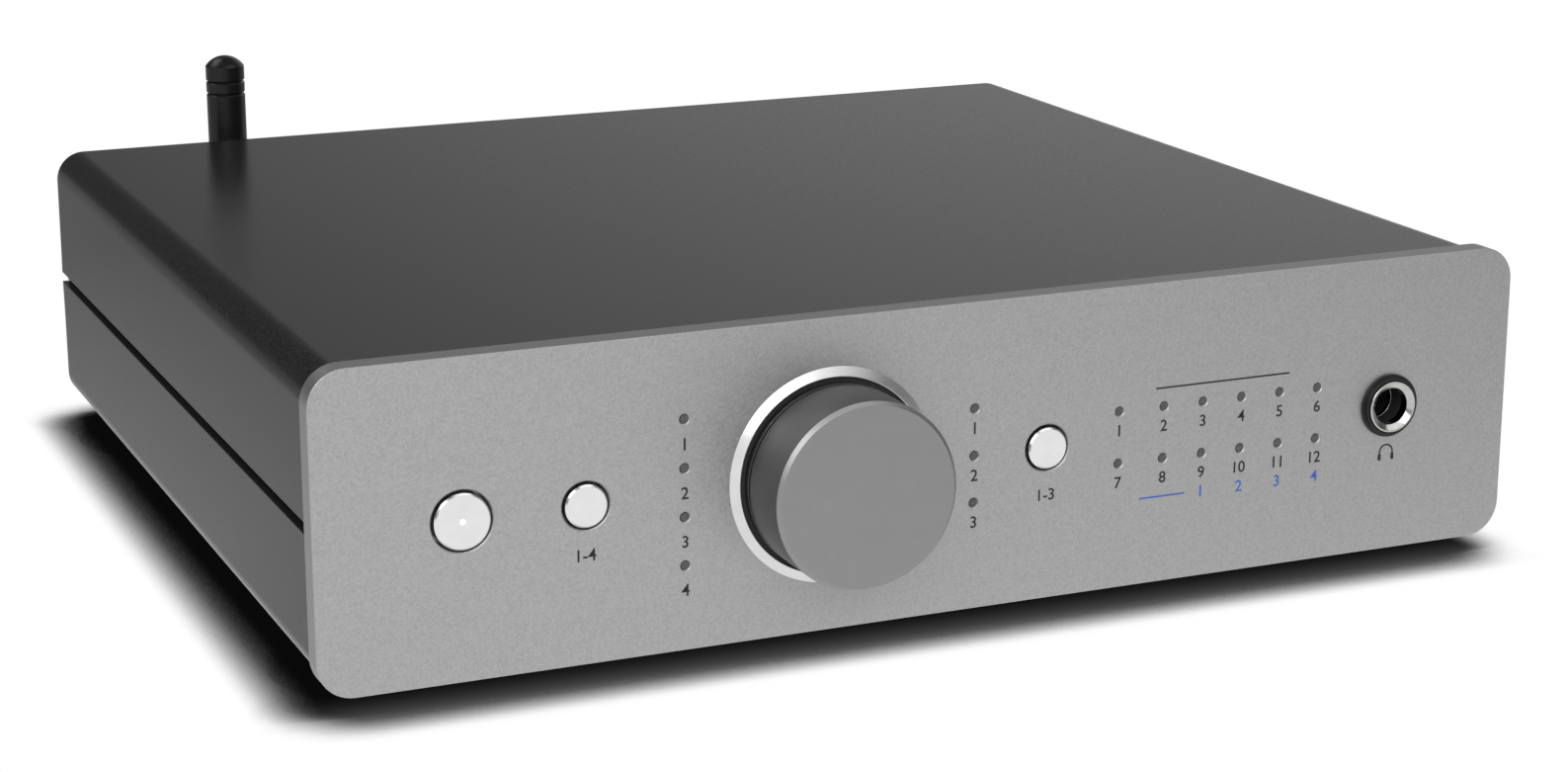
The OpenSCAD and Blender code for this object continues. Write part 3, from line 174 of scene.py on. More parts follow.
def disc(middle, radius, steps=SMALL_TURN_STEPS):
    """Outline of a circle, counter-clockwise: the middle plus radius times (cos t, sin t)."""
    angle = np.linspace(0, FULL_TURN, steps, endpoint=False)
    normals = np.stack([np.cos(angle), np.sin(angle)], axis=1)
    return np.asarray(middle, float) + radius * normals, normals


def hole(outline):
    """An outline run the other way round, with its normals into the hole, away from the plate."""
    points, normals = outline
    return points[::-1], -normals[::-1]


def edge(outline, section):
    """An outline carried down a section of (inset, height) steps; an inset goes against the normals."""
    points, normals = outline
    inset, height = np.array(section, float).T
    return points - normals * inset[:, None, None], height


def eased(radius, depth, steps=ARC_STEPS):
    """Section of a plate's edge: a quarter round at the front, then straight to the back."""
    angle = np.linspace(0, QUARTER, steps)
    round_part = np.stack([radius * (1 - np.sin(angle)), radius * (np.cos(angle) - 1)], axis=1)
    return np.concatenate([round_part, [[0, -depth]]])


def straight(front, back):
    """Section of a plate's square edge, from one height to another."""
    return [(0, front), (0, back)]


def plate(*edges):
    """Flat plate between two caps, from its outline's edge and its holes' edges.

    Each edge runs from its first ring, on the front cap, to its last, on the back cap. A cap is the plane
    region between the outline and the holes, cut into triangles.
    """
    points, faces, front, back, borders = [], [], [], [], []
    start = 0
    border = 0
    for rings, height in edges:
        rows, count = rings.shape[:2]
        tall = np.broadcast_to(height[:, None, None], (rows, count, 1))
        points.append(np.concatenate([rings, tall], axis=2).reshape(-1, 3))
        faces.append(grid_faces(rows, count) + start)
        front.append(start + np.arange(count))
        back.append(start + (rows - 1) * count + np.arange(count))
        borders.append(list(range(border, border + count)))
        start += rows * count
        border += count
    points, front, back = (np.concatenate(part) for part in (points, front, back))
    caps = []
    for ring in (front, back):
        plane = [Vector(point) for point in points[ring, :2]]
        caps.append(ring[np.array(delaunay_2d_cdt(plane, [], borders, CUT_INSIDE_HOLES, CUT_TOLERANCE)[2])])
    return points, faces + [caps[0], caps[1][:, ::-1]]


def bar(middle, width, height, radius, section):
    """Plate of a rounded rectangle without holes, carried down a section."""
    return plate(edge(rectangle(middle, width, height, radius), section))


def turned(profile, steps=TURN_STEPS):
    """Profile of (radius, height) points carried round the height axis.

    A point goes to radius times (cos t, sin t) at its height, and one on the axis is a single pole. The
    profile runs with the solid on its right, so that faces point out.
    """
    radius, height = np.asarray(profile, float).T
    angle = np.linspace(0, FULL_TURN, steps, endpoint=False)
    ring = np.stack([np.cos(angle), np.sin(angle), np.zeros(steps)], axis=1)
    points = radius[:, None, None] * ring + height[:, None, None] * HEIGHT_AXIS
    return welded(points.reshape(-1, 3), [grid_faces(len(radius), steps)])


def turned_solid(corners, ease, steps=TURN_STEPS):
    """Turned solid whose profile starts and ends on the axis, with its corners eased by arcs."""
    return turned(rounded(corners, ease, closed=False)[0], steps)


def turned_ring(corners, ease):
    """Turned ring whose closed profile stays clear of the axis, with its corners eased by arcs."""
    profile, _ = rounded(corners, ease)
    return turned(np.concatenate([profile, profile[:1]]))


def square_ring(inner, outer, front, back, ease):
    """Turned ring of a square section with eased edges."""
    return turned_ring([(inner, back), (inner, front), (outer, front), (outer, back)], ease)


def ribbon(path, width, height):
    """Flat band along a path: each point goes half the width to both sides, square to the path there."""
    path = np.asarray(path, float)
    along = np.gradient(path, axis=0)
    along /= np.linalg.norm(along, axis=1, keepdims=True)
    aside = np.stack([along[:, 1], -along[:, 0]], axis=1) * width / 2
    outline = np.concatenate([path + aside, (path - aside)[::-1]])
    return plate((np.stack([outline, outline]), np.array([height, -height])))


def placed(name, data):
    """New object of a mesh, curve, lamp or camera, linked to the scene."""
    made = bpy.data.objects.new(name, data)
    bpy.context.scene.collection.objects.link(made)
    return made


def lettering(text, height, thickness):
    """Plain figures as a thin raised print, scaled to a height and centred on the plane's origin."""
    curve = bpy.data.curves.new("figures", "FONT")
    curve.body = text
    curve.extrude = thickness
    curve.offset = STROKE_SPREAD
    holder = placed("figures", curve)
    mesh = bpy.data.meshes.new_from_object(holder.evaluated_get(bpy.context.evaluated_depsgraph_get()))
    mesh.calc_loop_triangles()
    points = np.empty(len(mesh.vertices) * 3)
    mesh.vertices.foreach_get("co", points)
    triangles = np.empty(len(mesh.loop_triangles) * 3, int)
    mesh.loop_triangles.foreach_get("vertices", triangles)
    bpy.data.objects.remove(holder)
    bpy.data.meshes.remove(mesh)
    bpy.data.curves.remove(curve)
    points = points.reshape(-1, 3)
    low, high = points.min(axis=0), points.max(axis=0)
    points[:, :2] = (points - (low + high) / 2)[:, :2] * height / (high - low)[1]
    return welded(points, [triangles.reshape(-1, 3)])


def new_mesh(name, surface):
    """Smooth mesh of a surface, in metres."""
    points, faces = surface
    mesh = bpy.data.meshes.new(name)
    mesh.from_pydata((points * MM).tolist(), [], [face for block in faces for face in block.tolist()])
    mesh.shade_smooth()
    return mesh


def piece(name, surface, material, body, slot, *nodes):
    """Makes the object of a surface: smooth with sharp edges, riding on a body, in place of CAD nodes."""
    mesh = new_mesh(name, surface)
    mesh.set_sharp_from_angle(angle=SHARP_ANGLE)
    mesh.materials.append(material)
    made = placed(name, mesh)
    even = made.modifiers.new("even_flats", "WEIGHTED_NORMAL")
    even.keep_sharp = True
    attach(made, body)
    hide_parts(*nodes)
    return made


def face_middles(made):
    """Middles of a piece's faces, in millimetres."""
    middles = np.empty(len(made.data.polygons) * 3)
    made.data.polygons.foreach_get("center", middles)
    return middles.reshape(-1, 3) / MM


def refinished(made, material, chosen):
    """Gives another finish to the chosen faces of a piece."""
    mesh = made.data
    finishes = np.empty(len(mesh.polygons), np.int32)
    mesh.polygons.foreach_get("material_index", finishes)
    finishes[chosen] = len(mesh.materials)
    mesh.materials.append(material)
    mesh.polygons.foreach_set("material_index", finishes)


# Material core

NOISE_SPAN = (0.3, 0.7)
NOISE_DETAIL = 2.0
ACROSS_FRONT = (1.0, 0.0, 1.0)

# Sockets of a mix by their numbers, because its values and its colours share their names
MIX_SHARE, MIX_VALUE_A, MIX_VALUE_B, MIX_COLOUR_A, MIX_COLOUR_B, MIX_COLOUR_OUT = 0, 2, 3, 6, 7, 2

# Curve from sRGB to linear: a short straight start, then a power
SRGB_KNEE, SRGB_SLOPE, SRGB_SHIFT, SRGB_POWER, SRGB_TOP = 0.04045, 12.92, 0.055, 2.4, 255


def linear(colour):
    """A sRGB hex colour as linear red, green, blue and full alpha."""
    channels = np.array(list(bytes.fromhex(colour[1:]))) / SRGB_TOP
    low, high = channels / SRGB_SLOPE, ((channels + SRGB_SHIFT) / (1 + SRGB_SHIFT)) ** SRGB_POWER
    return (*np.where(channels <= SRGB_KNEE, low, high).tolist(), 1.0)


def add(tree, kind, inputs=None, **settings):
    """Adds a node with its settings and inputs.

    An input is a plain value, an output to link from, or a node, which stands for its first output.
    """
    node = tree.nodes.new("ShaderNode" + kind)
    for key, value in settings.items():
        setattr(node, key, value)
    for key, value in (inputs or {}).items():
        if isinstance(value, bpy.types.Node):
            value = value.outputs[0]
        if isinstance(value, bpy.types.NodeSocket):
            tree.links.new(value, node.inputs[key])
        else:
            node.inputs[key].default_value = value
    return node


def span(end, values):
    """Inputs for the two values at one end of a range, From or To."""
    return {end + " Min": values[0], end + " Max": values[1]}


def empty_tree(owner):
    """Node tree of a material or a world, cleared."""
    owner.use_nodes = True
    owner.node_tree.nodes.clear()
    return owner.node_tree


def grained(name, dark, light, grain, rough, relief, stretch=(1.0, 1.0, 1.0), **sockets):
    """Finish whose colour, roughness and relief follow one noise; grain and relief are in millimetres."""
    made = bpy.data.materials.new(name)
    tree = empty_tree(made)
    place = add(tree, "TexCoord")
    drawn = add(tree, "Mapping", {"Vector": place.outputs["Object"], "Scale": stretch})
    noise = add(tree, "TexNoise", {"Vector": drawn, "Scale": 1 / (grain * MM), "Detail": NOISE_DETAIL})
    level = add(tree, "MapRange", {"Value": noise, **span("From", NOISE_SPAN)})
    colour = add(tree, "Mix", {MIX_SHARE: level, MIX_COLOUR_A: linear(dark), MIX_COLOUR_B: linear(light)},
                 data_type="RGBA")
    gloss = add(tree, "MapRange", {"Value": level, **span("To", rough)})
    bump = add(tree, "Bump", {"Height": level, "Distance": relief * MM, "Strength": 1.0})
    followed = {"Base Color": colour.outputs[MIX_COLOUR_OUT], "Roughness": gloss, "Normal": bump}
    fixed = {key.replace("_", " "): value for key, value in sockets.items()}
    shader = add(tree, "BsdfPrincipled", {**followed, **fixed})
    add(tree, "OutputMaterial", {"Surface": shader})
    return made


def with_cut_rings(made, centre, pitch, relief):
    """Adds a front-facing lathe's tool marks: a wave of the distance from the axis plus that along it."""
    tree = made.node_tree
    shader = next(node for node in tree.nodes if node.type == "BSDF_PRINCIPLED")
    normal = shader.inputs["Normal"]
    place = add(tree, "TexCoord")
    centred = add(tree, "Mapping", {"Vector": place.outputs["Object"], "Location": -Vector(centre) * MM})
    parts = add(tree, "SeparateXYZ", {0: centred})
    flat = add(tree, "VectorMath", {0: centred, 1: ACROSS_FRONT}, operation="MULTIPLY")
    away = add(tree, "VectorMath", {0: flat}, operation="LENGTH")
    run = add(tree, "Math", {0: away.outputs["Value"], 1: parts.outputs[1]}, operation="SUBTRACT")
    phase = add(tree, "Math", {0: run, 1: FULL_TURN / (pitch * MM)}, operation="MULTIPLY")
    wave = add(tree, "Math", {0: phase}, operation="SINE")
    rings = add(tree, "Bump", {"Height": wave, "Distance": relief * MM, "Strength": 1.0,
                               "Normal": normal.links[0].from_socket})
    tree.links.new(rings.outputs[0], normal)
    return made


# Finishes


def bead_blasted_anodised_aluminium(name, dark, light):
    """Front panel: blasting leaves fine dull pits, and the anodised skin turns them an even silver grey."""
    # The grit's pits are about 0.1 mm and are drawn at 0.35 mm, so that they show in the picture
    return grained("bead_blasted_anodised_aluminium_" + name, dark, light, grain=0.35, rough=(0.5, 0.58),
                   relief=0.007, Metallic=1.0)


def satin_powder_coat():
    """Tray and cover: baked powder flows into a satin dark grey skin with a faint sandy grain."""
    # Grains of powder are about 0.1 mm and are drawn at 0.5 mm, so that they show at a slant
    return grained("satin_powder_coat", "#181818", "#2c2c2c", grain=0.5, rough=(0.18, 0.26), relief=0.012,
                   Specular_IOR_Level=0.04)


def black_powder_coat():
    """Rear panel: the same baked powder in black, a little more matt."""
    return grained("black_powder_coat", "#161718", "#212224", grain=0.6, rough=(0.46, 0.58), relief=0.015)


def turned_anodised_aluminium(name, centre, dark, light):
    """Knob: turned on a lathe, so faint rings cross its grey anodised skin and spread its shine sideways."""
    made = grained("turned_anodised_aluminium_" + name, dark, light, grain=2.5, rough=(0.4, 0.44),
                   relief=0.0, Metallic=1.0)
    # Tool marks of 0.05 mm are drawn at 0.2 mm, so that they show in the picture
    return with_cut_rings(made, centre, pitch=0.2, relief=0.0015)


def diamond_cut_aluminium():
    """Trim ring: a diamond tool leaves bare metal, bright as a mirror with a breath of haze."""
    return grained("diamond_cut_aluminium", "#d6d6d6", "#dcdcdc", grain=3.0, rough=(0.3, 0.34), relief=0.0,
                   Metallic=1.0)


def spun_aluminium(name, centre):
    """Buttons: bright faces spun on a lathe, whose fine rings draw the shine out into a faint fan."""
    made = grained("spun_aluminium_" + name, "#e4e4e4", "#e8e8e8", grain=1.5, rough=(0.2, 0.24), relief=0.0,
                   Metallic=1.0)
    # Tool marks of 0.04 mm are drawn at 0.15 mm, so that they show in the picture
    return with_cut_rings(made, centre, pitch=0.15, relief=0.0025)


def lit_polycarbonate():
    """Pip of the power button: a clear polycarbonate lens, white from the lamp behind it."""
    return grained("lit_polycarbonate", "#e8eaec", "#f6f7f8", grain=0.4, rough=(0.12, 0.2), relief=0.001,
                   Emission_Color=linear("#ffffff"), Emission_Strength=0.5)


def smoked_acrylic():
    """Light pipes: dark acrylic rods, polished at the ends, that stay grey while their lamps are off."""
    return grained("smoked_acrylic", "#3c3d3f", "#4a4b4d", grain=0.5, rough=(0.2, 0.3), relief=0.001,
                   IOR=1.49)


def moulded_black_abs():
    """Aerial and rails: black ABS from a finely sparked mould, so it has a soft low sheen."""
    # A spark-eroded mould gives a 0.05 mm texture, drawn at 0.3 mm so that it shows in the picture
    return grained("moulded_black_abs", "#0d0d0d", "#151515", grain=0.3, rough=(0.28, 0.36), relief=0.004,
                   IOR=1.53, Specular_IOR_Level=0.3)


def moulded_black_nylon():
    """Connector bodies: black glass-filled nylon, slightly greyer and more matt than ABS."""
    return grained("moulded_black_nylon", "#1b1b1c", "#28282a", grain=0.35, rough=(0.42, 0.55),
                   relief=0.006, IOR=1.53)


def moulded_rubber():
    """Feet: black rubber, matt, with a bloom of paler specks."""
    return grained("moulded_rubber", "#111112", "#232324", grain=0.8, rough=(0.7, 0.85), relief=0.02,
                   IOR=1.52)


def nickel_plate():
    """Socket mouths and shells: bright nickel over brass, silver with faint polishing clouds."""
    return grained("nickel_plate", "#b6b5b3", "#c2c1bf", grain=0.9, rough=(0.15, 0.2), relief=0.0005,
                   Metallic=1.0)


def gold_plated_brass():
    """Contact pins and aerial socket: thin gold over brass, a soft warm shine."""
    return grained("gold_plated_brass", "#d9b25c", "#e7c57a", grain=0.7, rough=(0.18, 0.28), relief=0.002,
                   Metallic=1.0)


def zinc_plated_steel():
    """Inner sheet and screws: pressed steel under blue-white zinc, with pale crystals of plating."""
    return grained("zinc_plated_steel", "#a3a7ab", "#bcc0c4", grain=1.8, rough=(0.3, 0.46), relief=0.006,
                   Metallic=1.0)


def black_oxide_steel():
    """Rear screws: steel blackened in a hot bath, dark with a thin oily sheen."""
    return grained("black_oxide_steel", "#2a2a2b", "#3a3a3b", grain=0.5, rough=(0.34, 0.48), relief=0.004,
                   Metallic=1.0)


def tinned_steel():
    """Shield cans and the data socket's shell: bright tin over thin steel, with soft cloudy patches."""
    return grained("tinned_steel", "#bfc0bf", "#d3d4d2", grain=1.6, rough=(0.22, 0.36), relief=0.004,
                   Metallic=1.0)


def green_solder_mask():
    """Boards: glass cloth under green solder mask; the cloth's weave shows as a faint mottle."""
    return grained("green_solder_mask", "#12402a", "#1b5738", grain=0.7, rough=(0.26, 0.38), relief=0.006,
                   IOR=1.55)


def moulded_epoxy():
    """Chips: black filled epoxy, dull and slightly sandy."""
    return grained("moulded_epoxy", "#18191a", "#262728", grain=0.25, rough=(0.55, 0.68), relief=0.006,
                   IOR=1.55)


def sleeved_aluminium_can():
    """Supply capacitors: cans in a shrunk dark blue sleeve with a tight gloss."""
    return grained("sleeved_aluminium_can", "#182238", "#202c46", grain=1.5, rough=(0.2, 0.32),
                   relief=0.004, IOR=1.5)


def grey_pvc_ribbon():
    """Flat cable: grey PVC over side-by-side wires, so it is ribbed across its width."""
    return grained("grey_pvc_ribbon", "#8c8d8f", "#a9aaab", grain=1.27, rough=(0.4, 0.52), relief=0.06,
                   stretch=(1.0, 0.02, 0.02), IOR=1.53)


def phosphor_bronze():
    """Contact springs: rolled bronze, a dull gold with streaks along the roll."""
    return grained("phosphor_bronze", "#b98f5b", "#cfa977", grain=0.4, rough=(0.24, 0.36), relief=0.003,
                   stretch=(1.0, 0.1, 1.0), Metallic=1.0)


def moulded_pbt(name, dark, light):
    """Phono cores and small coloured plastic: PBT straight from the mould, clean colour and a soft gloss."""
    return grained("moulded_pbt_" + name, dark, light, grain=0.4, rough=(0.3, 0.4), relief=0.003, IOR=1.55)


def screen_ink(name, dark, light):
    """Printed figures: a thin layer of matt ink pulled through a screen, thinner in specks."""
    return grained("screen_ink_" + name, dark, light, grain=0.25, rough=(0.55, 0.7), relief=0.001)


# Sizes and places on the front, in millimetres

panel_low, panel_high, panel_mid = box_mm("front_panel")
front_y = panel_low[1]
panel_t = panel_high[1] - panel_low[1]
panel_r = 6.0
panel_corners = 4
panel_chamfer = 0.15
hole_ease = 0.2
knob_bore_r = 3.7
knob_face = 13.6
knob_chamfer = 0.6
button_gap = 0.45
button_proud = 0.4
button_chamfer = 0.25
power_r = 4.55
small_button_r = 3.5
button_flange_w = 1.2
button_flange_t = 1.0
button_stem_l = 2.1
button_stem_r = 1.7
pip_r = 0.48
pip_depth = 2.4
light_hole_r = 0.75
light_flange_r = 2.05
source_step = 8.0
source_count = 4
filter_step = 8.0
filter_count = 3
rate_step = 7.5
rate_steps = 4
rate_row_half = 4.5
jack_hole_r = 4.35

knob_mid = box_mm("volume_knob")[2]
power_mid = box_mm("power_button")[2]
source_mid = box_mm("source_button")[2]
filter_mid = box_mm("filter_button")[2]
jack_mid = box_mm("jack_bush")[2]


def column(middle, step, count):
    """Evenly stepped places about a middle."""
    return middle + step * (np.arange(count) - (count - 1) / 2)


source_light_mid = box_mm("source_light_pipe")[2]
filter_light_mid = box_mm("filter_light_pipe")[2]
rate_low, rate_high, rate_mid = box_mm("rate_light_pipe")
source_light_z = column(source_light_mid[2], source_step, source_count)
filter_light_z = column(filter_light_mid[2], filter_step, filter_count)
rate_light_x = np.append(rate_low[0] + light_flange_r,
                         rate_high[0] - light_flange_r - rate_step * np.arange(rate_steps, -1, -1))
rate_light_z = rate_mid[2] + rate_row_half * np.array([1, -1])
light_places = ([(source_light_mid[0], z) for z in source_light_z]
                + [(filter_light_mid[0], z) for z in filter_light_z]
                + [(x, z) for z in rate_light_z for x in rate_light_x])


def on_front(middle):
    """Place on the front panel's face in front of a node's middle."""
    return (middle[0], front_y, middle[2])


# Front panel and what sits on it


def front_panel():
    """Panel with rounded corners and a fine chamfer, bored for the controls, the lights and the socket."""
    width, height = (panel_high - panel_low)[[0, 2]]
    outline = rectangle(panel_mid[[0, 2]], width, height, panel_r, FINE_ARC_STEPS)
    rim = [(panel_chamfer, 0), (0, -panel_chamfer), (0, panel_chamfer - panel_t), (panel_chamfer, -panel_t)]
    bored = [(hole_ease, 0), (0, -hole_ease), (0, -panel_t)]
    bores = [disc(knob_mid[[0, 2]], knob_bore_r), disc(jack_mid[[0, 2]], jack_hole_r),
             disc(power_mid[[0, 2]], power_r + button_gap, TURN_STEPS)]
    bores += [disc(middle[[0, 2]], small_button_r + button_gap, TURN_STEPS)
              for middle in (source_mid, filter_mid)]
    bores += [disc(place, light_hole_r) for place in light_places]
    made = plate(edge(outline, rim), *[edge(hole(bore), bored) for bore in bores])
    return stood(made, FACING_FRONT, (0, front_y, 0))


def button(radius, pip_hole):
    """Cap with a chamfered face, a stop flange behind the panel and a stem, bored for the pip if asked."""
    stem_back = front_y - box_mm("power_button")[1][1]
    flange_back = stem_back + button_stem_l
    flange_front = flange_back + button_flange_t
    face = button_proud
    middle = [(0, face)]
    if pip_hole:
        middle = [(0, face - pip_depth), (pip_r, face - pip_depth), (pip_r, face)]
    flange_r = radius + button_flange_w
    return turned(middle + [
        (radius - button_chamfer, face), (radius, face - button_chamfer), (radius, flange_front),
        (flange_r, flange_front), (flange_r, flange_back), (button_stem_r, flange_back),
        (button_stem_r, stem_back), (0, stem_back)])


def power_pip():
    """Lens in the power button: a short rod with a crowned end."""
    crown, ease, back = 0.06, 0.12, button_proud - pip_depth
    return turned_solid([(0, button_proud + crown), (pip_r, button_proud - crown), (pip_r, back), (0, back)],
                        ease, SMALL_TURN_STEPS)


def volume_knob():
    """Cap with a chamfered face, a hairline near the panel and a hollow back with a boss for the shaft."""
    face, reach_back, wall_r, hollow_r, boss_r = knob_face, 0.4, 15.5, 6.8, 3.02
    hairline_w, hairline_d, hairline_at = 0.6, 0.9, 1.8
    hollow, boss = 3.2, 9.2
    corners = [(0, face), (wall_r - knob_chamfer, face), (wall_r, face - knob_chamfer),
               (wall_r, hairline_at + hairline_w), (wall_r - hairline_d, hairline_at + hairline_w),
               (wall_r - hairline_d, hairline_at), (wall_r, hairline_at), (wall_r, reach_back),
               (hollow_r, reach_back), (hollow_r, hollow), (boss_r, hollow), (boss_r, boss), (0, boss)]
    return turned_solid(corners, ease=0.06)


def painted_shade_washer():
    """Thin black washer on the panel under the knob's rim: painted shade, which keeps the gap round the knob
    dark.
    """
    return square_ring(inner=12.0, outer=16.24, front=0.15, back=0, ease=0.03)


def trim_ring():
    """Ring round the knob: a narrow flat land and a long bevel down to the panel."""
    inner, land, outer, height = 16.25, 16.45, 18.0, 0.7
    return turned_ring([(inner, 0), (inner, height), (land, height), (outer, 0)],
                       ease=(0.02, 0.12, 0.12, 0.02))


def jack_mouth():
    """Bright funnel of the headphone socket: a round rim whose cone leads in to the bore."""
    bore, outer, rim_r, rim, lip, throat = 3.2, 4.5, 4.2, 1.5, 0.9, -0.9
    return turned_ring([(bore, throat), (bore, lip), (rim_r, rim), (outer, rim), (outer, throat)],
                       ease=(0.05, 0.25, 0.12, 0.12, 0.05))


def jack_liner():
    """Dark bore of the socket behind the funnel, down to the housing."""
    return square_ring(inner=3.3, outer=4.3, front=-0.9, back=-5.8, ease=0.04)


def jack_contact_ring():
    """Earth contact in the bore: a thin ring whose front edge catches the light."""
    return square_ring(inner=3.22, outer=3.5, front=-4.0, back=-4.9, ease=0.05)


def jack_collar():
    """Black nut round the funnel: a low cone with eased edges, standing on a thin flange."""
    inner, top_r, step_r, outer, height, step_top, step = 4.6, 5.0, 5.15, 5.5, 1.2, 0.75, 0.55
    return turned_ring([(inner, 0), (inner, height), (top_r, height), (step_r, step_top), (step_r, step),
                        (outer, step), (outer, 0)], ease=0.06)


# Case

sheet_t = 1.4
cover_fold_r = 5.5
tray_fold_r = 5.0
sheet_edge_r = 0.15
rear_fold_r = 1.1
rear_burr_r = 0.12
lip_h = 8.0
rear_lip_t = 1.4
upper_lip_z = 49.25
foot_pocket = 2.4


def folded_sheet(node, fold_r, upward):
    """Sheet folded over the case: two legs and a web, carried from the front to the rear.

    At the rear the web's inner side steps in by the lip's height, which makes the lip. The end's edge is
    rounded, most at the folds: by an angle a, a corner's inset is its own end radius times (1 - cos a), and
    the run is the fold's end radius times sin a.
    """
    low, high, _ = box_mm(node)
    half = high[0]
    free, web = (low[2], high[2]) if upward else (high[2], low[2])
    inward = -1 if upward else 1
    order = slice(None) if upward else slice(None, None, -1)

    def section(web_t, inner_r):
        inner = web + inward * web_t
        corners = [(half, free), (half, web), (-half, web), (-half, free), (sheet_t - half, free),
                   (sheet_t - half, inner), (half - sheet_t, inner), (half - sheet_t, free)]
        radii = [sheet_edge_r, fold_r, fold_r, sheet_edge_r, sheet_edge_r, inner_r, inner_r, sheet_edge_r]
        return rounded(corners[order], radii[order], FINE_ARC_STEPS)

    plain, _ = section(sheet_t, fold_r - sheet_t)
    lipped, normals = section(lip_h, sheet_edge_r)
    free_corners = 5
    ends = [rear_burr_r, rear_fold_r, rear_fold_r] + [rear_burr_r] * free_corners
    angle = np.linspace(0, QUARTER, ARC_STEPS)
    inset = np.repeat(ends[order], FINE_ARC_STEPS) * (1 - np.cos(angle))[:, None]
    rear = lipped - normals * inset[:, :, None]
    rings = np.concatenate([[plain, plain, lipped], rear])
    lip_front = rear_lip_t - high[1]
    height = np.concatenate([[-low[1], lip_front, lip_front], rear_fold_r * (1 - np.sin(angle)) - high[1]])
    return stood(plate((rings, height)), FACING_FRONT, (0, 0, 0))


def foot():
    """Round foot: a slightly flared puck with eased edges and a pocket for its screw."""
    top_r, table_r, height, pocket_r = 9.5, 8.7, 3.8, 4.0
    return turned_solid([(0, height), (top_r, height), (table_r, 0), (pocket_r, 0), (pocket_r, foot_pocket),
                         (0, foot_pocket)], ease=0.4)


# Aerial

aerial_low, aerial_high, aerial_mid = box_mm("aerial_stub")
aerial_r = (aerial_high - aerial_low)[0] / 2
hinge_z = aerial_low[2] + aerial_r
hinge_w = 7.2
hinge_slot = 3.6
hinge_pin_r = 1.2
stub_base_z = hinge_z + 4.2
coupling_low, coupling_high, coupling_mid = box_mm("aerial_base")
coupling_r = (coupling_high - coupling_low)[0] / 2
coupling_back_y = 100.63
tongue_w = 3.0
tongue_r = coupling_high[1] - aerial_mid[1]


def aerial_stub():
    """Stub with a domed end, two ring grooves and a forked foot.

    The dome is a spherical cap: its sphere's radius is (r squared + h squared) / 2h for a stub radius r and a
    dome height h. A groove is a V cut as deep as half its width.
    """
    dome_h, groove, groove_drops, cheek_ease = 2.1, 0.35, (5.2, 7.7), 0.3
    top = aerial_high[2]
    sphere_r = (aerial_r ** 2 + dome_h ** 2) / (2 * dome_h)
    angle = np.linspace(0, math.asin(aerial_r / sphere_r), FINE_ARC_STEPS)
    dome = np.stack([sphere_r * np.sin(angle), top - sphere_r * (1 - np.cos(angle))], axis=1)
    grooves = [(aerial_r - groove * (step == 0), top - drop + groove * step)
               for drop in groove_drops for step in (1, 0, -1)]
    stem = turned(np.concatenate([dome, grooves, [(aerial_r, stub_base_z), (0, stub_base_z)]]))

    # The foot's two sides are segments of the stub's circle, and each ends in a round cheek
    half_slot = hinge_slot / 2
    reach = math.acos(half_slot / aerial_r)
    arc = np.linspace(-reach, reach, FINE_ARC_STEPS)
    outline = aerial_r * np.stack([np.cos(arc), np.sin(arc)], axis=1)
    levels = np.array([stub_base_z, hinge_z])
    sides = [plate((np.stack([outline * sign] * 2), levels)) for sign in (1, -1)]
    cheek = disc((0, 0), aerial_r, TURN_STEPS)
    right_section = eased(cheek_ease, (hinge_w - hinge_slot) / 2) + np.array([0, hinge_w / 2])
    left_section = right_section[::-1] * np.array([1, -1])
    place = (aerial_mid[0], aerial_mid[1], hinge_z)
    cheeks = [stood(plate(edge(cheek, section)), FACING_RIGHT, place)
              for section in (right_section, left_section)]
    upright = [stood(part, FACING_UP, (aerial_mid[0], aerial_mid[1], 0)) for part in (stem, *sides)]
    return joined(*upright, *cheeks)


def aerial_coupling():
    """Knurled coupling on the socket, with the tongue that carries the stub and the hinge pin through both.

    The knurl takes a share of the radius away by half of (1 + cos of the ridge count times the angle).
    """
    knurl, ridges, ridge_steps, bevel, ease, pin_ease, tip_share = 0.05, 32, 6, 0.5, 0.1, 0.2, 0.98
    front, back = coupling_low[1], coupling_back_y
    points, faces = turned_solid([(0, back), (coupling_r - bevel, back), (coupling_r, back - bevel),
                                  (coupling_r, front + bevel), (coupling_r - bevel, front), (0, front)],
                                 ease, ridges * ridge_steps)
    away = np.hypot(points[:, 0], points[:, 1])
    ridge = (1 + np.cos(ridges * np.arctan2(points[:, 1], points[:, 0]))) / 2
    points[:, :2] *= np.where(away > coupling_r - bevel / 2, 1 - knurl * ridge, 1)[:, None]
    nut = stood((points, faces), FACING_REAR, (coupling_mid[0], 0, coupling_mid[2]))
    root, tip = back - bevel, coupling_high[1]
    corners = [(root, -tongue_r), (tip, -tongue_r), (tip, tongue_r), (root, tongue_r)]
    tip_r = tongue_r * tip_share
    outline = rounded(corners, (bevel, tip_r, tip_r, bevel), FINE_ARC_STEPS)
    tongue = plate(edge(outline, straight(tongue_w / 2, -tongue_w / 2)))
    pin_end = hinge_w / 2
    pin = turned_solid([(0, pin_end), (hinge_pin_r, pin_end), (hinge_pin_r, -pin_end), (0, -pin_end)],
                       pin_ease, SMALL_TURN_STEPS)
    return joined(nut, stood(tongue, FACING_RIGHT, (coupling_mid[0], 0, hinge_z)),
                  stood(pin, FACING_RIGHT, (coupling_mid[0], aerial_mid[1], hinge_z)))


# Rail in the case's side groove

cover_low, cover_high, _ = box_mm("top_cover")
tray_high = box_mm("base_tray")[1]
rib_sink = 1.2
rib_gap = 0.1
rail_ease = 0.06


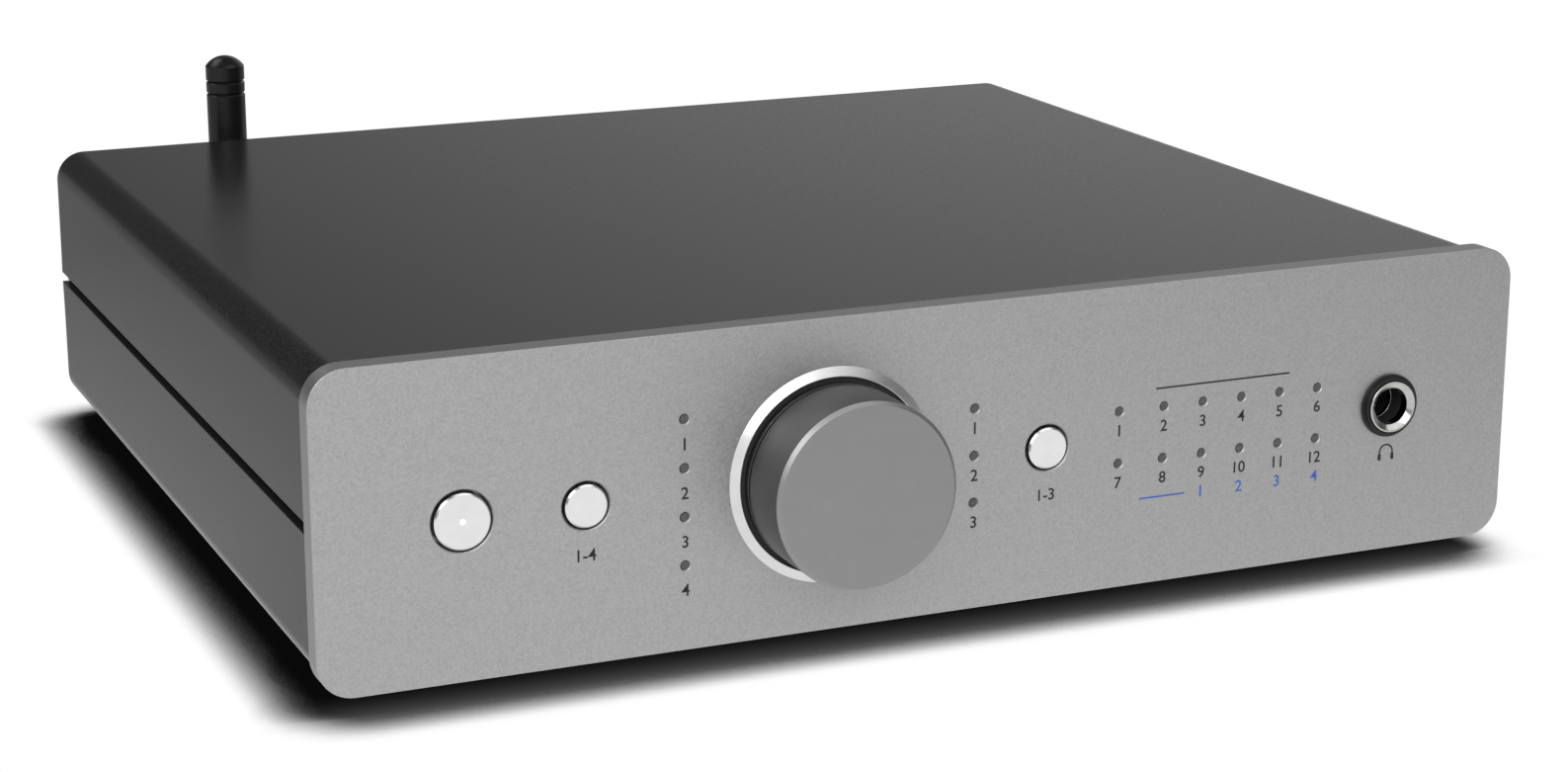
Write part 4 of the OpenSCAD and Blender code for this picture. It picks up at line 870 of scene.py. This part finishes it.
def side_rail(node, side):
    """Strip behind the groove between cover and tray, with a rib in the groove that runs to the rear."""
    low, high, mid = box_mm(node)
    strip_w, _, strip_h = high - low
    strip = bar(mid[[0, 2]], strip_w, strip_h, rail_ease, straight(-low[1], -high[1]))
    rib_out = cover_high[0] - rib_sink
    strip_out = max(-low[0], high[0])
    middle = (side * (rib_out + strip_out) / 2, (cover_low[2] + tray_high[2]) / 2)
    rib_h = cover_low[2] - tray_high[2] - 2 * rib_gap
    rib = bar(middle, rib_out - strip_out, rib_h, rail_ease, straight(-low[1], rib_gap - cover_high[1]))
    return stood(joined(strip, rib), FACING_FRONT, (0, 0, 0))


# Rear connectors, each drawn from a plane that faces the rear

rear_y = box_mm("rear_panel")[1][1]
lip_y = cover_high[1]
xlr_high = box_mm("xlr_left")[1]
xlr_flange_h = 31.0
xlr_z = xlr_high[2] - xlr_flange_h / 2
xlr_face_y = xlr_high[1]
xlr_places = [(box_mm(node)[2][0], xlr_z) for node in ("xlr_left", "xlr_right")]
phono_low, phono_high, _ = box_mm("phono_shells")
phono_collar_r = 5.8
phono_core_r = 3.45
phono_upper_z = phono_high[2] - phono_collar_r
phono_lower_z = phono_low[2] + phono_collar_r
line_x = box_mm("line_out_block")[2][0]
digital_places = [box_mm(f"digital_block_{n}")[2][0] for n in (1, 2)]
optical_z = box_mm("optical_shutter_1")[2][2]


def xlr_shell():
    """Cup with a rolled rim in a flange, and a key along the cup's upper wall."""
    flange_w, flange_r, flange_t = 26.0, 3.0, 1.8
    bore_r, cup_r, rim, floor, back = 9.3, 10.9, 0.5, -14.0, -17.0
    key_w, key_h, key_l, key_sink, flange_ease, ease = 2.4, 1.6, 11.0, 1.5, 0.4, 0.3
    flange = plate(edge(rectangle((0, 0), flange_w, xlr_flange_h, flange_r), eased(flange_ease, flange_t)),
                   edge(hole(disc((0, 0), cup_r, TURN_STEPS)), straight(0, -flange_t)))
    cup = turned_solid([(0, floor), (bore_r, floor), (bore_r, rim), (cup_r, rim), (cup_r, back), (0, back)],
                       ease)
    key = bar((0, bore_r), key_w, key_h, ease, eased(ease, key_l))
    return joined(flange, cup, stood(key, FACING_UP, (0, 0, -key_sink)))


def contact_pin(radius, length):
    """Round pin with a domed tip, standing up from its foot."""
    tip_share = 0.7
    return turned_solid([(0, length), (radius, length), (radius, 0), (0, 0)], radius * tip_share,
                        SMALL_TURN_STEPS)


def connector_pins():
    """Three pins in each round output, and the pin in the middle of the power inlet."""
    pin_r, pin_l, circle_r, angles = 1.2, 9.0, 4.2, np.radians([45, 135, 270])
    inlet_r, inlet_l, inlet_floor = 1.05, 8.5, 10.0
    floor_y = box_mm("connector_pins")[0][1]
    places = [(x + circle_r * math.cos(angle), floor_y, z + circle_r * math.sin(angle))
              for x, z in xlr_places for angle in angles]
    inlet_x, inlet_y, inlet_z = rear_end("dc_socket")
    inlet = stood(contact_pin(inlet_r, inlet_l), FACING_REAR, (inlet_x, inlet_y - inlet_floor, inlet_z))
    return joined(copied(contact_pin(pin_r, pin_l), FACING_REAR, places), inlet)


def phono_shell():
    """Barrel with a rolled end, on a collar that seats against the panel."""
    outer, end, back, collar = 4.15, 10.5, -1.4, 1.5
    return turned_ring([(phono_core_r, back), (phono_core_r, end), (outer, end), (outer, collar),
                        (phono_collar_r, collar), (phono_collar_r, 0), (outer, 0), (outer, back)],
                       ease=(0.05, 0.3, 0.3, 0.15, 0.3, 0.05, 0.05, 0.05))


def phono_core():
    """Plastic core of a phono connector, with a funnel that leads to its middle contact."""
    face, bore_r, floor, back, funnel = 9.8, 1.6, 1.8, -1.4, 0.5
    return turned_solid([(0, floor), (bore_r, floor), (bore_r, face - funnel), (bore_r + funnel, face),
                         (phono_core_r, face), (phono_core_r, back), (0, back)], ease=0.12)


def digital_block(node):
    """Body behind the panel, and the snout of the optical input with its square cavity."""
    low, _, mid = box_mm(node)
    body_front, body_back, snout_front, cavity_back = -1.4, low[1] - rear_y, 1.0, -12.0
    snout_w, cavity_w, corner, lead = 11.6, 9.6, 0.5, 0.3
    width, _, height = size_mm(node)
    body = rectangle((0, mid[2] - optical_z), width, height, corner)
    cavity = hole(rectangle((0, 0), cavity_w, cavity_w, corner))
    snout = plate(edge(rectangle((0, 0), snout_w, snout_w, corner),
                       eased(lead, snout_front - body_front) + np.array([0, snout_front])),
                  edge(cavity, [(lead, snout_front), (0, snout_front - lead), (0, body_front)]))
    front = plate(*[edge(outline, straight(body_front, cavity_back)) for outline in (body, cavity)])
    back = plate(edge(body, straight(cavity_back, body_back)))
    return joined(snout, front, back)


def usb_shell():
    """Steel shell whose opening has its two upper corners cut off, closed at the back."""
    corner, lead, depth, opening_w, opening_h, opening_r, cut = 0.8, 0.25, 11.0, 8.6, 7.9, 0.3, 1.8
    width, total, height = size_mm("usb_socket")
    half_w, half_h = opening_w / 2, opening_h / 2
    opening = rounded([(-half_w, -half_h), (half_w, -half_h), (half_w, half_h - cut), (half_w - cut, half_h),
                       (cut - half_w, half_h), (-half_w, half_h - cut)], opening_r)
    outline = rectangle((0, 0), width, height, corner)
    front = plate(edge(outline, eased(lead, depth)),
                  edge(hole(opening), [(lead, 0), (0, -lead), (0, -depth)]))
    return joined(front, plate(edge(outline, straight(-depth, -total))))


def usb_tongue():
    """Tongue of the data socket: a flat tab with eased edges."""
    ease = 0.4
    width, length, height = size_mm("usb_tongue")
    return bar((0, 0), width, height, ease, eased(ease, length))


def usb_contacts():
    """Four contact strips, two over and two under the tongue, which end a little behind its tip."""
    width, thick, strip_r, back_off, aside = 1.0, 0.24, 0.1, 1.0, 1.25
    _, length, height = size_mm("usb_tongue")
    strip = bar((0, 0), width, thick, strip_r, straight(-back_off, -length))
    return copied(strip, FACING_UP,
                  [(side * aside, level * height / 2, 0) for side in (-1, 1) for level in (-1, 1)])


def dc_inlet():
    """Round snout bored for the plug, in a square body behind the panel."""
    snout_r, bore_r, floor, base, body_front, body_r, ease = 4.2, 3.15, -10.0, -11.0, -1.9, 0.5, 0.25
    width, total, height = size_mm("dc_socket")
    snout = turned_solid([(0, floor), (bore_r, floor), (bore_r, 0), (snout_r, 0), (snout_r, base), (0, base)],
                         ease, SMALL_TURN_STEPS)
    outlines = rectangle((0, 0), width, height, body_r), hole(disc((0, 0), snout_r))
    return joined(snout, plate(*[edge(outline, straight(body_front, -total)) for outline in outlines]))


def cross_screw():
    """Pan-head screw with a cross recess.

    Head and shank are one turned profile, whose crown falls with the square of the radius. Inside the cross,
    a point of the crown sinks by the recess times a ramp of how far it lies inside the nearer arm's edge.
    """
    head_r, head_h, crown, shank_r, shank_l, shoulder = 2.5, 1.6, 0.55, 1.5, 4.4, 0.25
    arm_half, arm_l, recess, ramp, rings, steps = 0.4, 1.5, 0.9, 0.16, 26, 64
    away = np.linspace(0, arm_l + ramp, rings)
    top = np.stack([away, head_h - crown * (away / head_r) ** 2], axis=1)
    rest, _ = rounded([top[-1], (head_r, head_h - crown), (head_r, 0), (shank_r, 0), (shank_r, -shank_l),
                       (0, -shank_l)], shoulder, closed=False)
    points, faces = turned(np.concatenate([top, rest[1:]]), steps)
    across = np.sort(np.abs(points[:, :2]), axis=1)
    inside = np.minimum(arm_half - across[:, 0], arm_l - across[:, 1])
    points[:, 2] -= np.where(points[:, 2] > 0, recess * np.clip(inside / ramp, 0, 1), 0)
    return points, faces


def rear_screws():
    """Screws through the two lips, and two at opposite corners of each round output."""
    lip_x, lip_z, flange_x, flange_z = (-82.0, 0.0, 82.0), (8.5, upper_lip_z), 9.6, 12.1
    places = [(x, lip_y, z) for x in lip_x for z in lip_z]
    places += [(x + side * flange_x, xlr_face_y, z + side * flange_z)
               for x, z in xlr_places for side in (-1, 1)]
    return copied(cross_screw(), FACING_REAR, places)


def foot_screws():
    """Screw in the pocket of each foot, head down."""
    middles = [box_mm(f"foot_{end}_{side}")[2] for end in ("front", "rear") for side in ("left", "right")]
    return copied(cross_screw(), FACING_DOWN, [(middle[0], middle[1], foot_pocket) for middle in middles])


# Printed marks

print_t = 0.015
figure_h = 2.0
figure_drop = 3.3
source_figure_drop = 4.05
button_figure_drop = 8.0
line_w = 0.3


def printed(parts):
    """Flat marks on the front panel's face."""
    return stood(joined(*parts), FACING_FRONT, (0, front_y, 0))


def figure(text, x, z):
    """A figure of the common height, centred at a place on its panel's face."""
    return stood(lettering(text, figure_h, print_t), FACING_UP, (x, z, 0))


def headphone_sign(x, z):
    """Plain headphone sign: a round band over two short ear pads."""
    band_r, pad_w, pad_h, pad_r, pad_drop = 1.3, 0.6, 1.2, 0.2, 0.85
    angle = np.linspace(0, math.pi, FINE_ARC_STEPS)
    arch = np.stack([x + band_r * np.cos(angle), z + band_r * np.sin(angle)], axis=1)
    ends = [[arch[0] - (0, pad_drop)], [arch[-1] - (0, pad_drop)]]
    band = ribbon(np.concatenate([ends[0], arch, ends[1]]), line_w, print_t)
    pads = [bar((x + side * band_r, z - pad_drop), pad_w, pad_h, pad_r, straight(2 * print_t, -print_t))
            for side in (-1, 1)]
    return joined(band, *pads)


def dark_marks():
    """Figures under the lights and buttons, the rule over the rate lights and the headphone sign."""
    rule_out, rule_rise, rule_from, rule_to, sign_drop = 1.7, 3.2, 1, 4, 8.4
    rule_z = rate_light_z[0] + rule_rise
    rule = [(rate_light_x[rule_from] - rule_out, rule_z), (rate_light_x[rule_to] + rule_out, rule_z)]
    marks = [figure(str(n + 1), source_light_mid[0], z - source_figure_drop)
             for n, z in enumerate(source_light_z[::-1])]
    marks += [figure(str(n + 1), filter_light_mid[0], z - figure_drop)
              for n, z in enumerate(filter_light_z[::-1])]
    marks += [figure(str(row * len(rate_light_x) + n + 1), x, z - figure_drop)
              for row, z in enumerate(rate_light_z) for n, x in enumerate(rate_light_x)]
    marks += [figure(f"1-{count}", middle[0], middle[2] - button_figure_drop)
              for middle, count in ((source_mid, source_count), (filter_mid, filter_count))]
    marks.append(ribbon(rule, line_w, print_t))
    marks.append(headphone_sign(jack_mid[0], jack_mid[2] - sign_drop))
    return printed(marks)


def blue_marks():
    """Second row of figures under the lower rate lights, led by a line."""
    row_drop, before_second, before_third = 6.65, 4.3, 3.1
    row_z = rate_light_z[1] - row_drop
    line_from, line_to = rate_light_x[1] - before_second, rate_light_x[2] - before_third
    marks = [figure(str(n + 1), x, row_z) for n, x in enumerate(rate_light_x[2:])]
    marks.append(ribbon([(line_from, row_z), (line_to, row_z)], line_w, print_t))
    return printed(marks)


def rear_marks():
    """A figure over each rear connector, on the upper lip, counted from the left as seen from behind."""
    aside = 3.5
    middles = [x for x, _ in xlr_places[::-1]] + [line_x] + digital_places
    middles += [box_mm(node)[2][0] for node in ("usb_socket", "aerial_socket", "dc_socket")]
    figures = [figure(str(n + 1), -x - aside, upper_lip_z) for n, x in enumerate(middles)]
    return stood(joined(*figures), FACING_REAR, (0, lip_y, 0))


# All pieces in their finishes


def front_piece(name, surface, middle, *rest):
    """A piece that stands on the front panel's face before a middle; the rest is as for any piece."""
    return piece(name, stood(surface, FACING_FRONT, on_front(middle)), *rest)


def rear_piece(name, surface, place, *rest):
    """A piece that faces the rear at a place; the rest is as for any piece."""
    return piece(name, stood(surface, FACING_REAR, place), *rest)


coat = satin_powder_coat()
abs_black = moulded_black_abs()
nylon_black = moulded_black_nylon()
rubber = moulded_rubber()
nickel = nickel_plate()
gold = gold_plated_brass()
zinc = zinc_plated_steel()
blackened = black_oxide_steel()
tin = tinned_steel()
epoxy = moulded_epoxy()
bronze = phosphor_bronze()
panel_metal = bead_blasted_anodised_aluminium("face", "#a5a5a5", "#b6b6b6")
# The rim's copy of the panel's finish is darker: painted shade on the panel's edge faces
panel_edge_painted_shade = bead_blasted_anodised_aluminium("edge", "#8a8a8a", "#989898")
knob_metal = turned_anodised_aluminium("face", on_front(knob_mid), "#929292", "#959595")
# The flank's copy of the knob's finish is darker: painted shade on the knob's side
knob_flank_painted_shade = turned_anodised_aluminium("flank_painted_shade", on_front(knob_mid), "#616161", "#656565")
trim_metal = diamond_cut_aluminium()
pip_lens = lit_polycarbonate()
white_pbt = moulded_pbt("white", "#d8d8d4", "#e6e6e2")
grey_pbt = moulded_pbt("grey", "#4c4d50", "#5b5c5f")
acrylic = smoked_acrylic()

slot_finishes = {
    "sheet_case": coat, "front_panel": panel_metal, "inner_steel": zinc, "rear_panel": black_powder_coat(),
    "rail": abs_black, "foot_rubber": rubber, "steel_screw": zinc, "black_screw": blackened,
    "knob": knob_metal, "bright_trim": trim_metal, "button": spun_aluminium("plain", on_front(power_mid)),
    "lamp_lens": pip_lens, "light_pipe": acrylic, "lamp": white_pbt, "encoder": zinc, "switch": nylon_black,
    "board": green_solder_mask(), "post": zinc, "flat_cable": grey_pvc_ribbon(), "chip": epoxy,
    "capacitor": sleeved_aluminium_can(), "relay": nylon_black, "module": tin, "jack_metal": nickel,
    "jack_plastic": nylon_black, "contact": bronze, "connector_body": nylon_black, "pin": gold,
    "phono_metal": gold, "phono_plastic": white_pbt, "shutter": grey_pbt, "usb_metal": tin,
    "usb_plastic": white_pbt, "aerial_metal": gold, "aerial_plastic": abs_black}

for subpart in frame["record"]["subparts"]:
    slots = frame["nodes"][subpart["node"]].data.materials
    slots.clear()
    slots.append(slot_finishes[subpart["material_slot"]])

panel = piece("panel", front_panel(), panel_metal, "case", "front_panel", "front_panel")
# Painted shade: the panel's edge faces take the darker copy of its finish
painted_shade_rim_faces = np.arange(panel_corners * FINE_ARC_STEPS)
refinished(panel, panel_edge_painted_shade, painted_shade_rim_faces + len(painted_shade_rim_faces))
piece("cover", folded_sheet("top_cover", cover_fold_r, True), coat, "case", "sheet_case", "top_cover")
piece("tray", folded_sheet("base_tray", tray_fold_r, False), coat, "case", "sheet_case", "base_tray")
knob = front_piece("knob", volume_knob(), knob_mid, knob_metal, "knob", "knob", "volume_knob")
# Painted shade: faces behind the knob's face chamfer take the darker copy of its finish
refinished(knob, knob_flank_painted_shade, face_middles(knob)[:, 1] > front_y - knob_face + knob_chamfer)
front_piece("trim", trim_ring(), knob_mid, trim_metal, "case", "bright_trim", "knob_ring")
# Painted shade: a black washer under the knob's rim darkens the gap round the knob
front_piece("painted_shade_washer", painted_shade_washer(), knob_mid, rubber, "case", "foot_rubber")
for name, middle, radius in (("power", power_mid, power_r), ("source", source_mid, small_button_r),
                             ("filter", filter_mid, small_button_r)):
    spun = spun_aluminium(name, on_front(middle))
    cap = button(radius, name == "power")
    front_piece(name + "_cap", cap, middle, spun, name, "button", name + "_button")
front_piece("power_pip", power_pip(), power_mid, pip_lens, "power", "lamp_lens", "power_lens")
front_piece("jack_mouth", jack_mouth(), jack_mid, nickel, "case", "jack_metal", "jack_bush")
front_piece("jack_liner", jack_liner(), jack_mid, nylon_black, "case", "jack_plastic", "jack_bush")
front_piece("jack_ring", jack_contact_ring(), jack_mid, nickel, "case", "contact")
front_piece("jack_nut", jack_collar(), jack_mid, abs_black, "case", "jack_plastic", "jack_collar")
for end in ("front", "rear"):
    for side in ("left", "right"):
        node = f"foot_{end}_{side}"
        middle = box_mm(node)[2]
        piece(f"{end}_{side}_foot", stood(foot(), FACING_UP, (middle[0], middle[1], 0)), rubber, "case",
              "foot_rubber", node)
piece("aerial", aerial_stub(), abs_black, "aerial", "aerial_plastic", "aerial_stub")
piece("aerial_coupling", aerial_coupling(), abs_black, "aerial_base", "aerial_plastic", "aerial_base")
for side, name in ((-1, "left"), (1, "right")):
    node = "side_rail_" + name
    piece(name + "_rail", side_rail(node, side), abs_black, "case", "rail", node)
for (x, z), name in zip(xlr_places, ("left", "right")):
    rear_piece(f"xlr_{name}_shell", xlr_shell(), (x, xlr_face_y, z), nylon_black, "case", "connector_body",
               "xlr_" + name)
piece("pins", connector_pins(), gold, "case", "pin", "connector_pins")
phono_cores = [("white", line_x, phono_upper_z, white_pbt),
               ("red", line_x, phono_lower_z, moulded_pbt("red", "#8e1c1c", "#a52626"))]
orange_pbt = moulded_pbt("orange", "#b25f1e", "#c8742c")
phono_cores += [(f"orange_{n + 1}", x, phono_upper_z, orange_pbt) for n, x in enumerate(digital_places)]
phono_spots = [(x, rear_y, z) for _, x, z, _ in phono_cores]
piece("phono_barrels", copied(phono_shell(), FACING_REAR, phono_spots), gold, "case", "phono_metal",
      "phono_shells")
for (name, _, _, plastic), spot in zip(phono_cores, phono_spots):
    rear_piece("phono_core_" + name, phono_core(), spot, plastic, "case", "phono_plastic", "phono_insulators")
for n, x in enumerate(digital_places):
    node = f"digital_block_{n + 1}"
    rear_piece(f"digital_input_{n + 1}", digital_block(node), (x, rear_y, optical_z), nylon_black, "case",
               "connector_body", node)
rear_piece("usb_shell", usb_shell(), rear_end("usb_socket"), tin, "case", "usb_metal", "usb_socket")
rear_piece("usb_tab", usb_tongue(), rear_end("usb_tongue"), white_pbt, "case", "usb_plastic", "usb_tongue")
rear_piece("usb_contacts", usb_contacts(), rear_end("usb_tongue"), gold, "case", "pin")
rear_piece("power_inlet", dc_inlet(), rear_end("dc_socket"), nylon_black, "case", "connector_body",
           "dc_socket")
piece("lip_screws", rear_screws(), blackened, "case", "black_screw", "rear_screws")
piece("screws_in_feet", foot_screws(), zinc, "case", "steel_screw", "foot_screws")
piece("rear_figures", rear_marks(), screen_ink("white", "#c4c4c1", "#d8d8d5"), "case", None)
piece("front_figures", dark_marks(), screen_ink("dark", "#0c0c0d", "#161617"), "case", None)
piece("front_figures_blue", blue_marks(), screen_ink("blue", "#3555a0", "#4060aa"), "case", None)


# Studio

floor_r = 6000.0
floor_wall = 60.0
floor_fillet = 50.0
floor_white = "#f4f4f4"
# Painted shadow on the floor, set by how much of a leaning sky the object hides
shadow_reach = 13.0
shadow_span = (0.5, 0.9)
shadow_lean = (0.375, 0.28, 0.88)
shadow_depth = 0.003
shadow_fall = 2.0
shadow_samples = 16
# Painted light that lifts the floor's shadow under the front edge, more towards the front
painted_front_light_span = (front_y + 12.5, front_y - 5.0)
painted_front_light_fall = 2.8
painted_front_light = 0.12
# Painted falloff of light: the floor as seen in a shine greys to the right and back
shine_right = (100.0, 700.0)
shine_back = (0.0, 250.0)
shine_falls_to = (0.4, 0.5)
room_toward_light = (0.8, 0.6, 0.0)
room_span = (0.6, 1.0)
room_strength = (0.13, 0.95)


def matt_white_paint():
    """Floor: matt white paint. Seen directly it is plain white, but for a painted shadow by the object.

    That painted shadow follows how much of the sky over a spot the object hides, within the shadow's reach. The
    sky leans to the right and back, so that the shadow is deeper on the left and in front. A little painted
    light lifts the shadow under the front edge. In a shine the floor carries no shadow: it is plain white, as
    if lit by the main lamp, and greys evenly to the right and back, a painted falloff of light.
    """
    made = bpy.data.materials.new("matt_white_paint")
    tree = empty_tree(made)
    spot = add(tree, "TexCoord")
    parts = add(tree, "SeparateXYZ", {0: spot.outputs["Object"]})
    lean = add(tree, "CombineXYZ", dict(enumerate(shadow_lean)))
    # Painted shadow: the floor's glow dims where the object hides the leaning sky
    sky = add(tree, "AmbientOcclusion", {"Distance": shadow_reach * MM, "Normal": lean},
              samples=shadow_samples)
    clear = add(tree, "MapRange", {"Value": sky.outputs["AO"], **span("From", shadow_span)})
    fall = add(tree, "Math", {0: clear, 1: shadow_fall}, operation="POWER")
    # Painted light: the shadow is lifted a little under the front edge, by the spot's place front to back
    painted_creep = add(tree, "MapRange", {"Value": parts.outputs[1],
                                   **span("From", np.multiply(painted_front_light_span, MM))})
    painted_creep_fall = add(tree, "Math", {0: painted_creep, 1: painted_front_light_fall}, operation="POWER")
    painted_low_light = add(tree, "Math", {0: painted_creep_fall, 1: painted_front_light, 2: shadow_depth}, operation="MULTIPLY_ADD")
    fade = add(tree, "Math", {0: fall, 1: painted_low_light}, operation="MAXIMUM")
    # Painted falloff of light in a shine: the floor's glow greys by its place to the right and back
    greys = [add(tree, "MapRange", {"Value": parts.outputs[axis], **span("From", np.multiply(run, MM)),
                                    **span("To", (1.0, lowest))})
             for axis, (run, lowest) in enumerate(zip((shine_right, shine_back), shine_falls_to))]
    shine = add(tree, "Math", dict(enumerate(greys)), operation="MULTIPLY")
    rays = add(tree, "LightPath")
    glossy = rays.outputs["Is Glossy Ray"]
    strength = add(tree, "Mix", {MIX_SHARE: glossy, MIX_VALUE_A: fade, MIX_VALUE_B: shine})
    shown = add(tree, "Emission", {"Color": linear("#ffffff"), "Strength": strength})
    lit = add(tree, "BsdfDiffuse", {"Color": linear(floor_white)})
    seen = add(tree, "Math", {0: rays.outputs["Is Camera Ray"], 1: glossy}, operation="MAXIMUM")
    through = add(tree, "Math", {0: seen, 1: rays.outputs["Is Transmission Ray"]}, operation="MAXIMUM")
    mixed = add(tree, "MixShader", {0: through, 1: lit, 2: shown})
    add(tree, "OutputMaterial", {"Surface": mixed})
    return made


def studio_floor():
    """Pale round floor that curves up into a low wall: a profile turned about the upright axis, facing in."""
    corners = [(0, 0), (floor_r, 0), (floor_r, floor_wall)]
    profile, _ = rounded(corners, floor_fillet, FINE_ARC_STEPS, closed=False)
    mesh = new_mesh("floor", turned(profile))
    mesh.materials.append(matt_white_paint())
    placed("floor", mesh)


def softbox(name, place, aim, width, height, power):
    """Soft lamp at a place in millimetres, turned to face the point it aims at."""
    lamp = bpy.data.lights.new(name, "AREA")
    lamp.shape = "RECTANGLE"
    lamp.size = width * MM
    lamp.size_y = height * MM
    lamp.energy = power
    holder = placed(name, lamp)
    back = (Vector(place) - Vector(aim)).normalized()
    turn = back.to_track_quat("Z", "Y").to_matrix().to_4x4()
    holder.matrix_world = Matrix.Translation(Vector(place) * MM) @ turn


def room():
    """Grey room that brightens smoothly towards a pale wall on the back right."""
    world = bpy.data.worlds.new("room")
    bpy.context.scene.world = world
    tree = empty_tree(world)
    way = add(tree, "TexCoord")
    toward = add(tree, "VectorMath", {0: way.outputs["Generated"], 1: room_toward_light},
                 operation="DOT_PRODUCT")
    level = add(tree, "MapRange", {"Value": toward.outputs["Value"], **span("From", room_span),
                                   **span("To", room_strength)}, interpolation_type="SMOOTHSTEP")
    light = add(tree, "Background", {"Color": linear("#ffffff"), "Strength": level})
    add(tree, "OutputWorld", {"Surface": light})


def studio():
    """Floor, room, a strong soft lamp on the front left, a weaker one on the front right and one behind."""
    studio_floor()
    room()
    softbox("main_softbox", place=(-470, -860, 580), aim=(-80, -60, 30), width=1100, height=700, power=11.0)
    softbox("fill_softbox", place=(380, -650, 900), aim=(0, -60, 30), width=1000, height=1000, power=3.8)
    softbox("back_softbox", place=(-500, 600, 1000), aim=(0, 95, 30), width=800, height=500, power=3.0)


# Camera, placed by fitting the panel's corners and the case's rear edges to the photograph

camera_at = (-226.11, -543.75, 177.37)
camera_aim = (-30.363, -95.0, 44.649)
camera_roll = math.radians(0.039)
lens_mm = 73.863
film_mm = 36.0


def camera():
    """Camera whose view axis runs from its place to its aim, rolled a little about that axis."""
    data = bpy.data.cameras.new("camera")
    data.lens = lens_mm
    data.sensor_width = film_mm
    holder = placed("camera", data)
    back = (Vector(camera_at) - Vector(camera_aim)).normalized()
    right = Vector(HEIGHT_AXIS).cross(back).normalized()
    axes = Matrix((right, back.cross(right), back)).transposed()
    rolled = axes @ Matrix.Rotation(camera_roll, 3, "Z")
    holder.matrix_world = Matrix.Translation(Vector(camera_at) * MM) @ rolled.to_4x4()
    bpy.context.scene.camera = holder


studio()
camera()
bpy.context.scene.view_settings.view_transform = "Standard"
